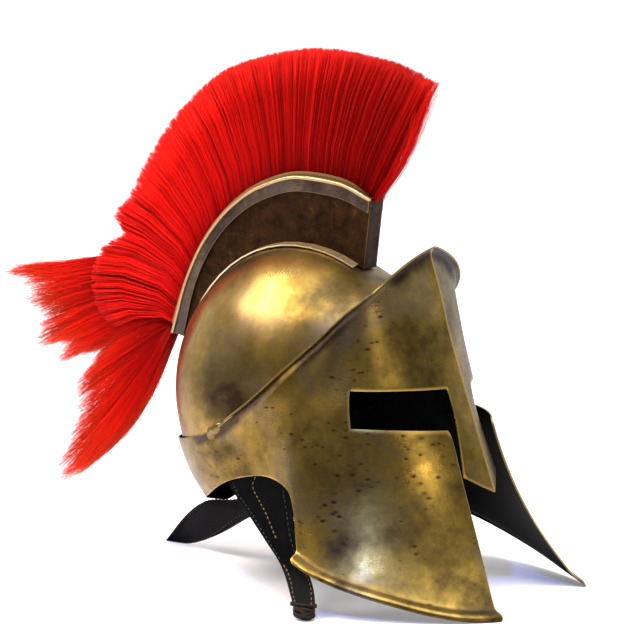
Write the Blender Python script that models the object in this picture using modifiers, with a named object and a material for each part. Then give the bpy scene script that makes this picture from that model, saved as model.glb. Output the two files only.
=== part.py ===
"""Corinthian helmet in brass sheet with a red brush crest, standing on its cheek tips and leather petals.

The helmet faces -Y, +Z is up, X = 0 is its plane of symmetry and Z = 0 is the surface that it stands on.
Sizes are in metres. The wearer's right side is -X.
"""

from math import cos, pi, radians, sin, sqrt, tan

import bmesh
import bpy
from mathutils import Vector

# Sheet, leather and clearance
SHEET = 0.0012
LEATHER = 0.0024
GAP = 0.0007
MERGE = 0.00001

# Skull: an ellipsoid whose front is drawn out to meet the brow
SKULL_Y = -0.047
SKULL_Z = 0.150
SKULL_WIDTH = 0.097
SKULL_BACK = 0.108
SKULL_FRONT = 0.120
SKULL_RISE = 0.120
SKULL_ROUNDNESS = 2.15
BROW_REACH = 0.0205
BROW_REACH_TOP = 0.246
BROW_REACH_FALL = 0.026

# Neck guard: follows the skull, a little wider, and tucks in less
NECK_OFFSET = 0.0022
NECK_DROP = 0.130

# Face plate, a row for each height. The plan of its front half is a rounded corner
# that starts at (front_x, front_y) with the given heading and ends at the shoulder,
# where the plate is half_width wide. spread bunches the columns to front or back.
# height, front_x, front_y, heading, half_width, shoulder_y, spread
FACE_ROWS = (
    (0.000, 0.0710, -0.2640, 42, 0.1400, -0.140, 1.14),
    (0.015, 0.0640, -0.2566, 41, 0.1370, -0.138, 1.14),
    (0.035, 0.0540, -0.2440, 37, 0.1300, -0.130, 1.14),
    (0.060, 0.0450, -0.2314, 31, 0.1180, -0.120, 1.14),
    (0.100, 0.0361, -0.2139, 25, 0.1050, -0.108, 1.14),
    (0.137, 0.0325, -0.2021, 20, 0.0995, -0.100, 1.14),
    (0.164, 0.0000, -0.1963, 10, 0.0955, -0.109, 0.875),
    (0.200, 0.0000, -0.1843, 10, 0.0855, -0.125, 0.875),
    (0.240, 0.0000, -0.1736, 11, 0.0710, -0.140, 0.875),
    (0.275, 0.0000, -0.1619, 11, 0.0560, -0.153, 0.875),
)

# Edges of the plate. Column 0 is the front centre, 1 the shoulder, 2 the ear, 3 the back centre.
# column, height
LOWER_EDGE = (
    (0.000, 0.0000), (0.170, 0.0005), (0.350, 0.0050), (0.550, 0.0135), (0.770, 0.0230),
    (1.075, 0.0380), (1.080, 0.0500), (1.090, 0.0700), (1.120, 0.0860), (1.200, 0.0915),
    (1.530, 0.0970), (2.010, 0.0915), (2.400, 0.0685), (3.000, 0.0520),
)
UPPER_EDGE = (
    (0.000, 0.2720), (0.250, 0.2640), (0.510, 0.2530), (0.775, 0.2375), (0.980, 0.2220),
    (1.120, 0.2040), (1.400, 0.1775), (1.720, 0.1545), (2.050, 0.1385), (2.120, 0.1300),
    (2.300, 0.1195), (2.600, 0.1115), (3.000, 0.1085),
)
# Rows of the sheet start here. Where the ear arch is cut higher, they end on its edge.
# column, height
ROW_START = LOWER_EDGE[:6] + ((1.530, 0.0580), (2.010, 0.0700), (2.400, 0.0640), (3.000, 0.0520))
EYE_BOTTOM = (0.1345, 0.0040)
EYE_TOP = (0.1640, 0.0030)
EYE_REAR = 0.675
EYE_FADE = 1.3
CORNER_DROP = 0.004

# Nasal: the strip between the eyes, keeled along the middle and waisted a little below them
NASAL_COLUMN = 0.0890
NASAL_HALF_WIDTH = 0.0250
NASAL_WAIST = 0.17
NASAL_WAIST_RISE = 0.6
NASAL_TIP_Z = 0.0837
NASAL_CORNER_Z = 0.0973
NASAL_SLOPE = 0.344
NASAL_KEEL = 0.0042

# Turned edges. The brow flares out in a cove, and the cheek piece's bottom is rolled outwards.
FLANGE_END = 2.12
LIP_END = 1.077
# depth below the brow's edge, distance out
FLANGE_PROFILE = ((0.0100, 0.0), (0.0055, 0.0007), (0.0025, 0.0022), (0.0008, 0.0044), (0.0, 0.0066))
# height above the roll's edge, distance out
LIP_PROFILE = (
    (0.0, 0.0040), (0.0010, 0.0056), (0.0034, 0.0064), (0.0054, 0.0052), (0.0064, 0.0030),
    (0.0076, 0.0009), (0.0105, 0.0),
)

# Skull's lower edge by column
SKULL_EDGE = (
    (0.0, 0.186), (0.8, 0.182), (1.2, 0.173), (1.6, 0.147), (2.0, 0.120), (2.4, 0.108), (3.0, 0.101),
)

# Crest. Each row pairs a point of the skull's middle line with the box's top edge above it.
# foot_angle (0 at the crown, front negative), top_y, top_z
CREST_ROWS = (
    (-31.7, -0.1167, 0.3094), (-18.0, -0.0870, 0.3212), (0.0, -0.0490, 0.3250),
    (18.0, -0.0130, 0.3158), (34.0, 0.0185, 0.2960), (48.0, 0.0460, 0.2640),
    (60.0, 0.0625, 0.2308), (72.5, 0.0754, 0.1909),
)
CREST_FRONT = -31.7
CREST_REAR = 72.5
BOX_HALF_WIDTH = 0.0098
BAND_HEIGHT = 0.0125
BAND_THICKNESS = 0.0010
FOOT_REACH = 0.0175
FOOT_HEIGHT = 0.0012
FOOT_FRONT = -28.5
FOOT_REAR = 66.0
CHANNEL_HALF_WIDTH = 0.0080
CHANNEL_WALL = 0.0010
CHANNEL_RISE = 0.0035
CHANNEL_DEPTH = 0.018

# Brush. Each row pairs a place along the crest with the end of its bristles.
# foot_angle, tip_y, tip_z
BRUSH_ROWS = (
    (-28.5, -0.163, 0.4015), (-18.0, -0.124, 0.4150), (0.0, -0.060, 0.4225),
    (18.0, 0.010, 0.4115), (34.0, 0.060, 0.3830), (46.0, 0.0975, 0.3450),
    (55.0, 0.126, 0.2980), (60.0, 0.140, 0.2680), (64.0, 0.1500, 0.2440),
    (67.5, 0.1480, 0.2180), (69.2, 0.1330, 0.1980),
)
BRUSH_SPLIT = 18.0
LOCKS_FRONT = 11
LOCKS_REAR = 13
ROOT_HALF_WIDTH = 0.0065
TIP_HALF_WIDTH = 0.0140
ROOT_DEPTH = 0.014
LOCK_GROOVE = 0.16

# Long locks at the back, a row for each section across the lock
# upper_y, upper_z, lower_y, lower_z, half_width
TAIL_UPPER = (
    (0.162, 0.252, 0.141, 0.180, 0.0120),
    (0.181, 0.244, 0.165, 0.167, 0.0140),
    (0.208, 0.241, 0.197, 0.150, 0.0130),
    (0.236, 0.237, 0.224, 0.166, 0.0090),
    (0.2691, 0.231, 0.259, 0.207, 0.0030),
)
TAIL_LOWER = (
    (0.125, 0.189, 0.0785, 0.187, 0.0080),
    (0.143, 0.163, 0.084, 0.166, 0.0130),
    (0.167, 0.136, 0.096, 0.140, 0.0150),
    (0.184, 0.107, 0.122, 0.105, 0.0130),
    (0.196, 0.079, 0.160, 0.079, 0.0090),
    (0.207, 0.050, 0.197, 0.049, 0.0030),
)

# Leather petals, a row for each section: rear edge, then front edge
# rear_x, rear_y, rear_z, front_x, front_y, front_z
PETAL_NEAR = (
    (-0.0835, -0.042, 0.104, -0.0945, -0.098, 0.104),
    (-0.0795, -0.028, 0.084, -0.0975, -0.099, 0.084),
    (-0.0980, -0.060, 0.063, -0.1045, -0.1025, 0.072),
    (-0.1090, -0.086, 0.045, -0.1150, -0.1140, 0.047),
    (-0.1220, -0.109, 0.027, -0.1240, -0.134, 0.026),
    (-0.1340, -0.121, 0.0145, -0.1355, -0.143, 0.0155),
    (-0.1400, -0.1265, 0.0098, -0.1400, -0.1455, 0.0105),
)
PETAL_FAR_BEND = 0.070
PETAL_FAR_SWEEP = 0.090
PETAL_FAR_SPREAD = 0.0129
PETAL_FAR_DROP = 0.0115
PETAL_BACK = (
    (0.004, 0.026, 0.0800, -0.034, -0.004, 0.0780),
    (0.011, 0.018, 0.0590, -0.024, -0.010, 0.0620),
    (0.014, 0.024, 0.0490, -0.012, -0.012, 0.0500),
    (0.018, 0.038, 0.0480, -0.005, -0.005, 0.0440),
    (0.026, 0.068, 0.0455, 0.004, 0.014, 0.0360),
    (0.038, 0.098, 0.0245, 0.020, 0.056, 0.0130),
    (0.045, 0.121, 0.0006, 0.043, 0.093, 0.0008),
)
KNOT_CENTRE = (-0.1435, -0.1385, 0.0047)
KNOT_SIZE = (0.0085, 0.0110, 0.0047)

# colour, metallic, roughness
MATERIALS = {
    "brass": ((0.33, 0.22, 0.075, 1), 1.0, 0.30),
    "dark_brass": ((0.060, 0.036, 0.017, 1), 1.0, 0.45),
    "pale_brass": ((0.36, 0.25, 0.13, 1), 1.0, 0.38),
    "bristle": ((0.75, 0.006, 0.004, 1), 0.0, 0.55),
    "leather": ((0.012, 0.012, 0.014, 1), 0.0, 0.50),
    "cord": ((0.010, 0.010, 0.010, 1), 0.0, 0.70),
}


def start_scene():
    """An empty scene with one collection for the parts."""
    for old in list(bpy.data.objects):
        bpy.data.objects.remove(old)
    parts = bpy.data.collections.new("corinthian_helmet")
    cutters = bpy.data.collections.new("cutters")
    bpy.context.scene.collection.children.link(parts)
    bpy.context.scene.collection.children.link(cutters)
    return parts, cutters


def material(name):
    """A Principled material with the colour, metallic value and roughness of the named finish."""
    colour, metallic, roughness = MATERIALS[name]
    made = bpy.data.materials.new(name)
    made.use_nodes = True
    shader = made.node_tree.nodes["Principled BSDF"]
    shader.inputs["Base Color"].default_value = colour
    shader.inputs["Metallic"].default_value = metallic
    shader.inputs["Roughness"].default_value = roughness
    return made


def blend(low, high, share):
    """The value at this share of the way from low to high."""
    return low + (high - low) * share


def eased(share):
    """A share from 0 to 1 that starts and stops gently."""
    share = min(max(share, 0.0), 1.0)
    return share * share * (3 - 2 * share)


def slope_at(table, row, value):
    """Slope of a table's value at one of its rows, held so that the curve never overshoots."""
    if row in (0, len(table) - 1):
        near = table[1] if row == 0 else table[-2]
        return (near[value] - table[row][value]) / (near[0] - table[row][0])
    before, here, after = table[row - 1], table[row], table[row + 1]
    rise = (here[value] - before[value]) / (here[0] - before[0])
    next_rise = (after[value] - here[value]) / (after[0] - here[0])
    if rise * next_rise <= 0:
        return 0.0
    return 2 * rise * next_rise / (rise + next_rise)


def smooth(table, place, value=1):
    """A value read from a table by a smooth curve through its rows. The first column is the place."""
    if place <= table[0][0]:
        return table[0][value]
    if place >= table[-1][0]:
        return table[-1][value]
    row = 0
    while table[row + 1][0] < place:
        row += 1
    start, end = table[row], table[row + 1]
    span = end[0] - start[0]
    t = (place - start[0]) / span
    pull_start = slope_at(table, row, value) * span
    pull_end = slope_at(table, row + 1, value) * span
    return (
        start[value] * (1 + 2 * t) * (1 - t) ** 2
        + pull_start * t * (1 - t) ** 2
        + end[value] * t * t * (3 - 2 * t)
        - pull_end * t * t * (1 - t)
    )


def skull_share(height, drop=SKULL_RISE):
    """Width of the skull at this height as a share of its widest."""
    reach = SKULL_RISE if height > SKULL_Z else drop
    return sqrt(max(0.0, 1 - ((height - SKULL_Z) / reach) ** 2))


def face_row(height):
    """The values of FACE_ROWS at this height."""
    return [smooth(FACE_ROWS, height, value) for value in range(1, 7)]


def plate_point(column, height):
    """A point of the face plate's outer face, right half as seen from the front (+X)."""
    front_x, front_y, heading, half_width, shoulder_y, spread = face_row(height)
    neck = skull_share(height, NECK_DROP)
    ear_width = SKULL_WIDTH * neck + NECK_OFFSET
    if column <= 1:
        t = column ** spread
        corner_y = front_y + (half_width - front_x) * tan(radians(heading))
        pull = 0.5523
        handles = (
            (front_x, front_y),
            (blend(front_x, half_width, pull), blend(front_y, corner_y, pull)),
            (half_width, blend(shoulder_y, corner_y, pull)),
            (half_width, shoulder_y),
        )
        weights = ((1 - t) ** 3, 3 * t * (1 - t) ** 2, 3 * t * t * (1 - t), t ** 3)
        x = sum(weight * handle[0] for weight, handle in zip(weights, handles))
        y = sum(weight * handle[1] for weight, handle in zip(weights, handles))
        return Vector((x, y, height))
    if column <= 2:
        return Vector((
            blend(half_width, ear_width, eased(column - 1)),
            blend(shoulder_y, SKULL_Y, column - 1),
            height,
        ))
    turn = (column - 2) * pi / 2
    depth = SKULL_BACK * neck + NECK_OFFSET
    return Vector((ear_width * cos(turn), SKULL_Y + depth * sin(turn), height))


def outward(column, height):
    """Level direction that points out of the plate."""
    step = 0.004
    ahead = plate_point(min(column + step, 3.0), height)
    behind = plate_point(max(column - step, 0.0), height)
    along = ahead - behind
    if column in (0.0, 3.0):
        along.y = 0.0
    return Vector((along.y, -along.x, 0)).normalized()


def eye_levels(column):
    """Heights of the eye opening's lower and upper edges, fading to plain shares of the plate behind it."""
    low = smooth(ROW_START, column) + LIP_PROFILE[-1][0]
    high = smooth(UPPER_EDGE, column)
    share = min(column / EYE_REAR, 1.0)
    bottom = EYE_BOTTOM[0] + EYE_BOTTOM[1] * share
    top = EYE_TOP[0] + EYE_TOP[1] * share
    if column == 0.0:
        bottom -= CORNER_DROP
    fade = eased((column - EYE_REAR) / (EYE_FADE - EYE_REAR))
    return blend(bottom, blend(low, high, 0.45), fade), blend(top, blend(low, high, 0.62), fade)


def plate_columns():
    """Places of the columns from the front centre to the back centre."""
    nasal = [NASAL_COLUMN * step / 2 for step in range(2)]
    front = [blend(NASAL_COLUMN, EYE_REAR, step / 6) for step in range(6)]
    cheek = [EYE_REAR, 0.78, 0.88, 0.98]
    corner = [1.075, 1.080, 1.090, 1.120]
    side = [1.20, 1.37, 1.60, 1.85, 2.02]
    neck = [blend(2.12, 3.0, step / 7) for step in range(8)]
    return nasal + front + cheek + corner + side + neck


def column_of_plate(column):
    """Points of one column, from the roll's edge up to the flange's edge."""
    low = smooth(LOWER_EDGE, column)
    high = smooth(UPPER_EDGE, column)
    start = smooth(ROW_START, column)
    eye_low, eye_high = eye_levels(column)
    points = []
    for rise, out in LIP_PROFILE:
        if column > LIP_END:
            rise, out = 0.0, 0.0
        height = max(start + rise, low)
        points.append(plate_point(column, height) + outward(column, height) * out)
    heights = [blend(start + LIP_PROFILE[-1][0], eye_low, step / 5) for step in range(1, 6)]
    heights += [blend(eye_low, eye_high, step / 2) for step in range(1, 3)]
    heights += [blend(eye_high, high - FLANGE_PROFILE[0][0], step / 5) for step in range(1, 6)]
    points += [plate_point(column, max(height, low)) for height in heights]
    turned = 1.0 if column < FLANGE_END else 0.0
    for drop, out in FLANGE_PROFILE[1:]:
        height = high - drop
        points.append(plate_point(column, height) + outward(column, height) * (out * turned))
    return points


def nasal_rows(columns):
    """Rows of the nasal, from the brow down to its pointed end."""
    top_edge = [plate_point(column, eye_levels(column)[1]) for column in columns]
    rows = []
    for step in range(1, 6):
        share = step / 5
        row = []
        for column, top in zip(columns, top_edge):
            across = column / NASAL_COLUMN
            end = blend(NASAL_TIP_Z, NASAL_CORNER_Z, across)
            height = blend(top.z, end, share)
            widening = blend(1.0, NASAL_HALF_WIDTH / top_edge[-1].x, share)
            widening -= NASAL_WAIST * sin(pi * share ** NASAL_WAIST_RISE)
            fall = (top.z - height) * NASAL_SLOPE
            row.append(Vector((top.x * widening, top.y - fall + NASAL_KEEL * across * share, height)))
        rows.append(row)
    return rows


def mesh_object(name, mesh, finish, parts):
    """An object in the parts collection from a bmesh, shaded smooth with its sharp edges kept."""
    bmesh.ops.remove_doubles(mesh, verts=mesh.verts, dist=MERGE)
    data = bpy.data.meshes.new(name)
    mesh.to_mesh(data)
    mesh.free()
    data.shade_smooth()
    data.set_sharp_from_angle(angle=radians(40))
    made = bpy.data.objects.new(name, data)
    made.data.materials.append(material(finish))
    parts.objects.link(made)
    return made


def add_grid(mesh, rows, keep=lambda column, row: True):
    """Faces between neighbouring rows and columns of points, where keep allows one."""
    made = [[mesh.verts.new(point) for point in row] for row in rows]
    for row, (low, high) in enumerate(zip(made, made[1:])):
        for column in range(len(low) - 1):
            if keep(column, row):
                mesh.faces.new((low[column], low[column + 1], high[column + 1], high[column]))
    loose = [vert for vert in mesh.verts if not vert.link_faces]
    bmesh.ops.delete(mesh, geom=loose, context="VERTS")


def add_sheet_modifiers(made, mirrored=True, thickness=SHEET, offset=-1.0):
    """Mirror an open half at X = 0, then give it the sheet's thickness."""
    if mirrored:
        mirror = made.modifiers.new("mirror", "MIRROR")
        mirror.merge_threshold = 0.0001
    solidify = made.modifiers.new("thickness", "SOLIDIFY")
    solidify.thickness = thickness
    solidify.offset = offset
    solidify.use_even_offset = True


def make_face_plate(parts):
    """Brow, nasal, cheek pieces and neck guard in one sheet, with its eye openings and turned edges."""
    columns = plate_columns()
    by_column = [column_of_plate(column) for column in columns]
    rows = list(zip(*by_column))
    lip_rows = len(LIP_PROFILE) - 1
    eye_rows = (lip_rows + 5, lip_rows + 6)
    eye_column = columns.index(EYE_REAR)
    last_rolled = max(number for number, column in enumerate(columns) if column <= LIP_END)

    def keep(column, row):
        eye = row in eye_rows and column < eye_column
        beside_roll = row < lip_rows and column == last_rolled
        return not (eye or beside_roll)

    mesh = bmesh.new()
    add_grid(mesh, rows, keep)
    nasal_columns = columns[:3]
    brow_row = [plate_point(column, eye_levels(column)[1]) for column in nasal_columns]
    add_grid(mesh, list(reversed([brow_row] + nasal_rows(nasal_columns))))
    plate = mesh_object("face_plate", mesh, "brass", parts)
    add_sheet_modifiers(plate)


def skull_point(column, height):
    """A point of the skull's outer face, in the same columns as the plate's."""
    share = skull_share(height)
    if column <= 2:
        turn = (2 - column) * pi / 4
        reach = BROW_REACH * eased((BROW_REACH_TOP - height) / BROW_REACH_FALL)
        depth = -(SKULL_FRONT * share + reach)
        power = 2 / SKULL_ROUNDNESS
    else:
        turn = (column - 2) * pi / 2
        depth = SKULL_BACK * share
        power = 1.0
    across = max(cos(turn), 0.0) ** power
    along = max(sin(turn), 0.0) ** power
    return Vector((SKULL_WIDTH * share * across, SKULL_Y + depth * along, height))


def make_skull(parts):
    """The dome, from its lower edge up to the crown."""
    columns = [2 * step / 7 for step in range(7)] + [2 + step / 8 for step in range(9)]
    rows = []
    crown = SKULL_Z + SKULL_RISE
    for step in range(11):
        turn = step / 10 * pi / 2
        rows.append([
            skull_point(column, blend(smooth(SKULL_EDGE, column), crown, sin(turn)))
            for column in columns
        ])
    mesh = bmesh.new()
    add_grid(mesh, rows)
    skull = mesh_object("skull", mesh, "brass", parts)
    add_sheet_modifiers(skull)


def skull_top(x, y):
    """A point of the dome's outer face above (x, y), with the direction that points out of it."""
    depth = SKULL_BACK if y > SKULL_Y else SKULL_FRONT
    share = sqrt((x / SKULL_WIDTH) ** 2 + ((y - SKULL_Y) / depth) ** 2)
    rise = sqrt(max(0.0, 1 - share * share))
    point = Vector((x, y, SKULL_Z + SKULL_RISE * rise))
    out = Vector((x / SKULL_WIDTH ** 2, (y - SKULL_Y) / depth ** 2, rise / SKULL_RISE))
    return point, out.normalized()


def crest_foot(angle):
    """Point of the skull's middle line at this angle from the crown."""
    depth = SKULL_BACK if angle > 0 else SKULL_FRONT
    return Vector((0, SKULL_Y + depth * sin(radians(angle)), SKULL_Z + SKULL_RISE * cos(radians(angle))))


def crest_top(angle):
    """Point of the box's top edge above the foot at this angle."""
    return Vector((0, smooth(CREST_ROWS, angle, 1), smooth(CREST_ROWS, angle, 2)))


def above_foot(angle, lift):
    """A point this far above the skull, on the line from the foot to the top edge."""
    foot = crest_foot(angle)
    return foot + (crest_top(angle) - foot).normalized() * lift


def above_top(angle, lift):
    """A point this far above the box's top edge, on the line from the foot."""
    top = crest_top(angle)
    return top + (top - crest_foot(angle)).normalized() * lift


def angles_between(start, end, count):
    """Evenly spaced angles, both ends included."""
    return [blend(start, end, step / (count - 1)) for step in range(count)]


def add_loft(mesh, rings):
    """A closed body through rings of points that all have the same count."""
    made = [[mesh.verts.new(point) for point in ring] for ring in rings]
    count = len(made[0])
    for low, high in zip(made, made[1:]):
        for place in range(count):
            after = (place + 1) % count
            mesh.faces.new((low[place], low[after], high[after], high[place]))
    mesh.faces.new(list(reversed(made[0])))
    mesh.faces.new(made[-1])
    bmesh.ops.recalc_face_normals(mesh, faces=mesh.faces)


def add_crest_strip(mesh, inner_x, outer_x, low_edge, high_edge, angles):
    """A strip of the crest between two side planes and two edges seen from the side."""
    rings = []
    for angle in angles:
        low = low_edge(angle)
        high = high_edge(angle)
        ring = [
            Vector((inner_x, low.y, low.z)),
            Vector((outer_x, low.y, low.z)),
            Vector((outer_x, high.y, high.z)),
            Vector((inner_x, high.y, high.z)),
        ]
        rings.append(ring)
    add_loft(mesh, rings)


def boolean(target, tool, operation, cutters):
    """Join a tool to the target or cut it away, and keep the tool as a hidden guide."""
    for collection in list(tool.users_collection):
        collection.objects.unlink(tool)
    cutters.objects.link(tool)
    tool.hide_render = True
    tool.display_type = "WIRE"
    change = target.modifiers.new(tool.name, "BOOLEAN")
    change.operation = operation
    change.object = tool
    change.solver = "EXACT"


def make_crest_box(parts, cutters):
    """The open-topped sheet box on the crown, with the foot flange that holds it to the skull."""
    angles = angles_between(CREST_FRONT, CREST_REAR, 19)
    mesh = bmesh.new()
    add_crest_strip(
        mesh, -BOX_HALF_WIDTH, BOX_HALF_WIDTH,
        lambda angle: above_foot(angle, GAP), crest_top, angles,
    )
    box = mesh_object("crest_box", mesh, "dark_brass", parts)

    inner = bmesh.new()
    inner_half = BOX_HALF_WIDTH - SHEET
    add_crest_strip(
        inner, -inner_half, inner_half,
        lambda angle: above_foot(angle, GAP + FOOT_HEIGHT + SHEET),
        lambda angle: above_top(angle, 0.010),
        angles_between(CREST_FRONT + 1.0, CREST_REAR - 1.0, 17),
    )
    boolean(box, mesh_object("crest_hollow", inner, "dark_brass", parts), "DIFFERENCE", cutters)

    flange = bmesh.new()
    rings = []
    for angle in angles_between(FOOT_FRONT, FOOT_REAR, 15):
        foot = crest_foot(angle)
        sides = [FOOT_REACH * place for place in (-1, -0.56, 0, 0.56, 1)]
        low = []
        high = []
        for x in sides:
            point, out = skull_top(x, foot.y)
            low.append(point + out * GAP)
            high.append(point + out * (GAP + FOOT_HEIGHT))
        rings.append(low + list(reversed(high)))
    add_loft(flange, rings)
    boolean(box, mesh_object("crest_foot", flange, "dark_brass", parts), "UNION", cutters)


def make_crest_bands(parts):
    """The pale mouldings lapped on the two sides of the box along its top edge."""
    angles = angles_between(CREST_FRONT + 0.3, CREST_REAR - 0.3, 19)
    inner = BOX_HALF_WIDTH + GAP
    for name, side in (("crest_band_right", -1), ("crest_band_left", 1)):
        mesh = bmesh.new()
        add_crest_strip(
            mesh, side * inner, side * (inner + BAND_THICKNESS),
            lambda angle: above_top(angle, -BAND_HEIGHT),
            lambda angle: above_top(angle, 0.0003), angles,
        )
        mesh_object(name, mesh, "pale_brass", parts)


def make_bristle_channel(parts, cutters):
    """The narrow open channel inside the box that the bristles stand in."""
    angles = angles_between(CREST_FRONT + 1.8, CREST_REAR - 1.8, 17)
    mesh = bmesh.new()
    add_crest_strip(
        mesh, -CHANNEL_HALF_WIDTH, CHANNEL_HALF_WIDTH,
        lambda angle: above_top(angle, -channel_depth(angle)),
        lambda angle: above_top(angle, channel_rise(angle)), angles,
    )
    channel = mesh_object("bristle_channel", mesh, "pale_brass", parts)
    inner = bmesh.new()
    inner_half = CHANNEL_HALF_WIDTH - CHANNEL_WALL
    add_crest_strip(
        inner, -inner_half, inner_half,
        lambda angle: above_top(angle, CHANNEL_WALL - channel_depth(angle)),
        lambda angle: above_top(angle, 0.012),
        angles_between(CREST_FRONT + 2.8, CREST_REAR - 2.8, 15),
    )
    boolean(channel, mesh_object("channel_hollow", inner, "pale_brass", parts), "DIFFERENCE", cutters)


def channel_depth(angle):
    """Depth of the channel below the box's top edge, less where the box is low at the rear."""
    height = (crest_top(angle) - crest_foot(angle)).length
    return min(CHANNEL_DEPTH, height - 0.0045)


def channel_rise(angle):
    """Height of the channel above the box's top edge, down to nothing at the front."""
    return CHANNEL_RISE * eased((angle - CREST_FRONT) / 9.0)


def brush_section(angle, groove):
    """Ring of points round the bristles at one place along the crest, root to tip and back."""
    depth = min(ROOT_DEPTH, channel_depth(angle) - CHANNEL_WALL - GAP)
    root = above_top(angle, -depth)
    neck = above_top(angle, CHANNEL_RISE + 0.003)
    tip = Vector((0, smooth(BRUSH_ROWS, angle, 1), smooth(BRUSH_ROWS, angle, 2)))
    shares = (0.0, 0.3, 0.62, 0.9, 1.0)
    path = [root] + [neck.lerp(tip, share) for share in shares]
    widths = [ROOT_HALF_WIDTH, ROOT_HALF_WIDTH]
    for share in shares[1:]:
        full = blend(ROOT_HALF_WIDTH, TIP_HALF_WIDTH, share ** 0.8)
        if share == 1.0:
            full *= 0.72
        widths.append(full * (1 - groove * share))
    left = [Vector((-width, point.y, point.z)) for point, width in zip(path, widths)]
    right = [Vector((width, point.y, point.z)) for point, width in zip(path, widths)]
    return left + list(reversed(right))


def make_brush(parts, name, start, end, locks):
    """A length of the brush: locks of bristle with grooves between them, fused along their backing."""
    mesh = bmesh.new()
    places = angles_between(start, end, 2 * locks + 1)
    rings = [
        brush_section(angle, LOCK_GROOVE if number % 2 == 0 else 0.0)
        for number, angle in enumerate(places)
    ]
    add_loft(mesh, rings)
    mesh_object(name, mesh, "bristle", parts)


def make_tail(parts, name, rows):
    """A long lock of hair: rounded sections with two grooves on each side."""
    mesh = bmesh.new()
    rings = []
    # share across the lock from its upper edge, half width as a share
    outline = ((0.0, 0.30), (0.14, 0.85), (0.32, 0.70), (0.5, 1.0), (0.68, 0.72), (0.86, 0.85), (1.0, 0.30))
    for upper_y, upper_z, lower_y, lower_z, half_width in rows:
        upper = Vector((0, upper_y, upper_z))
        lower = Vector((0, lower_y, lower_z))
        left = []
        right = []
        for share, width in outline:
            point = upper.lerp(lower, share)
            left.append(point - Vector((half_width * width, 0, 0)))
            right.append(point + Vector((half_width * width, 0, 0)))
        rings.append(left + list(reversed(right)))
    add_loft(mesh, rings)
    mesh_object(name, mesh, "bristle", parts)


def petal_rows(table, columns=4):
    """Rows of points across a petal, from its rear edge to its front edge."""
    rows = []
    for row in table:
        rear = Vector(row[:3])
        front = Vector(row[3:])
        rows.append([rear.lerp(front, step / columns) for step in range(columns + 1)])
    return rows


def make_petal(parts, name, table):
    """A leather petal of even thickness through the sections of a table."""
    mesh = bmesh.new()
    add_grid(mesh, petal_rows(table))
    petal = mesh_object(name, mesh, "leather", parts)
    add_sheet_modifiers(petal, mirrored=False, thickness=LEATHER, offset=0.0)


def far_petal_table():
    """The near petal mirrored, with its free end swept back and lowered to the floor."""
    table = []
    for row in PETAL_NEAR:
        swept = []
        for x, y, z in (row[:3], row[3:]):
            share = max(0.0, 1 - z / PETAL_FAR_BEND)
            swept.append(PETAL_FAR_SPREAD * share - x)
            swept.append(y + PETAL_FAR_SWEEP * share)
            swept.append(z - PETAL_FAR_DROP * share * share)
        table.append(tuple(swept))
    return table


def make_knot(parts):
    """The bundle of drawstring knotted below the near petal's end."""
    mesh = bmesh.new()
    bmesh.ops.create_uvsphere(mesh, u_segments=14, v_segments=8, radius=1.0)
    for vert in mesh.verts:
        places = zip(KNOT_CENTRE, vert.co, KNOT_SIZE)
        vert.co = Vector([centre + place * size for centre, place, size in places])
    mesh_object("drawstring_knot", mesh, "cord", parts)


def main():
    parts, cutters = start_scene()
    make_face_plate(parts)
    make_skull(parts)
    make_crest_box(parts, cutters)
    make_crest_bands(parts)
    make_bristle_channel(parts, cutters)
    make_brush(parts, "brush_front", BRUSH_ROWS[0][0], BRUSH_SPLIT - 0.15, LOCKS_FRONT)
    make_brush(parts, "brush_rear", BRUSH_SPLIT + 0.15, BRUSH_ROWS[-1][0], LOCKS_REAR)
    make_tail(parts, "tail_upper", TAIL_UPPER)
    make_tail(parts, "tail_lower", TAIL_LOWER)
    make_petal(parts, "petal_near", PETAL_NEAR)
    make_petal(parts, "petal_far", far_petal_table())
    make_petal(parts, "petal_back", PETAL_BACK)
    make_knot(parts)


main()
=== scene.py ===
"""Corinthian helmet: the finish of its metal, hair and leather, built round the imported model.

The helmet faces -Y and stands on Z = 0. Sizes are in metres, and the wearer's right side is -X.
"""

from math import cos, exp, pi, radians, sin

import bmesh
import bpy
import numpy as np
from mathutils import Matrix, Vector, kdtree, noise


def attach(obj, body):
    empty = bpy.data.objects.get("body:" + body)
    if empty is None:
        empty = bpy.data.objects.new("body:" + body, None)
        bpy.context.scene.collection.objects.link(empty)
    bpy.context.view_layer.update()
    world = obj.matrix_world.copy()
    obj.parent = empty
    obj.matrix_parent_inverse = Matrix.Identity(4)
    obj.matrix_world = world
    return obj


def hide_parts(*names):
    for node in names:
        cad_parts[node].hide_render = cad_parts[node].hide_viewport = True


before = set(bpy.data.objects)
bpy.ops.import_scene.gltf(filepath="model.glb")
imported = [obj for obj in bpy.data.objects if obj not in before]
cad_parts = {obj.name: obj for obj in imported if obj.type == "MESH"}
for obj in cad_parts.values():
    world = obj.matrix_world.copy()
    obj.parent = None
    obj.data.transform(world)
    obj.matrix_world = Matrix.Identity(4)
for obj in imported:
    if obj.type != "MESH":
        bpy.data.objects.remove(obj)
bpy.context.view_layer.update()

# The view: a long lens a little above the brow, from the wearer's right, in a white studio.
# The camera's place and turn give the photograph's perspective in a frame of 630 x 640.
CAMERA_PLACE = (-1.76536, -1.16169, 0.45184)
CAMERA_HEADING = 58
CAMERA_PITCH = 6.68
LENS = 146.25
FLOOR_SIZE = 60
PAPER_GLOW = 0.62
SHADOW_GLOW = 0.22
SHADOW_REACH = (0.25, 0.80)
LOOKED_AT = Vector((0, -0.05, 0.17))

bpy.ops.object.select_all(action="DESELECT")
bpy.ops.object.camera_add(
    location=CAMERA_PLACE,
    rotation=(radians(90 - CAMERA_PITCH), 0, radians(-CAMERA_HEADING)),
)
camera = bpy.context.object
camera.data.lens = LENS
bpy.context.scene.camera = camera


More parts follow.
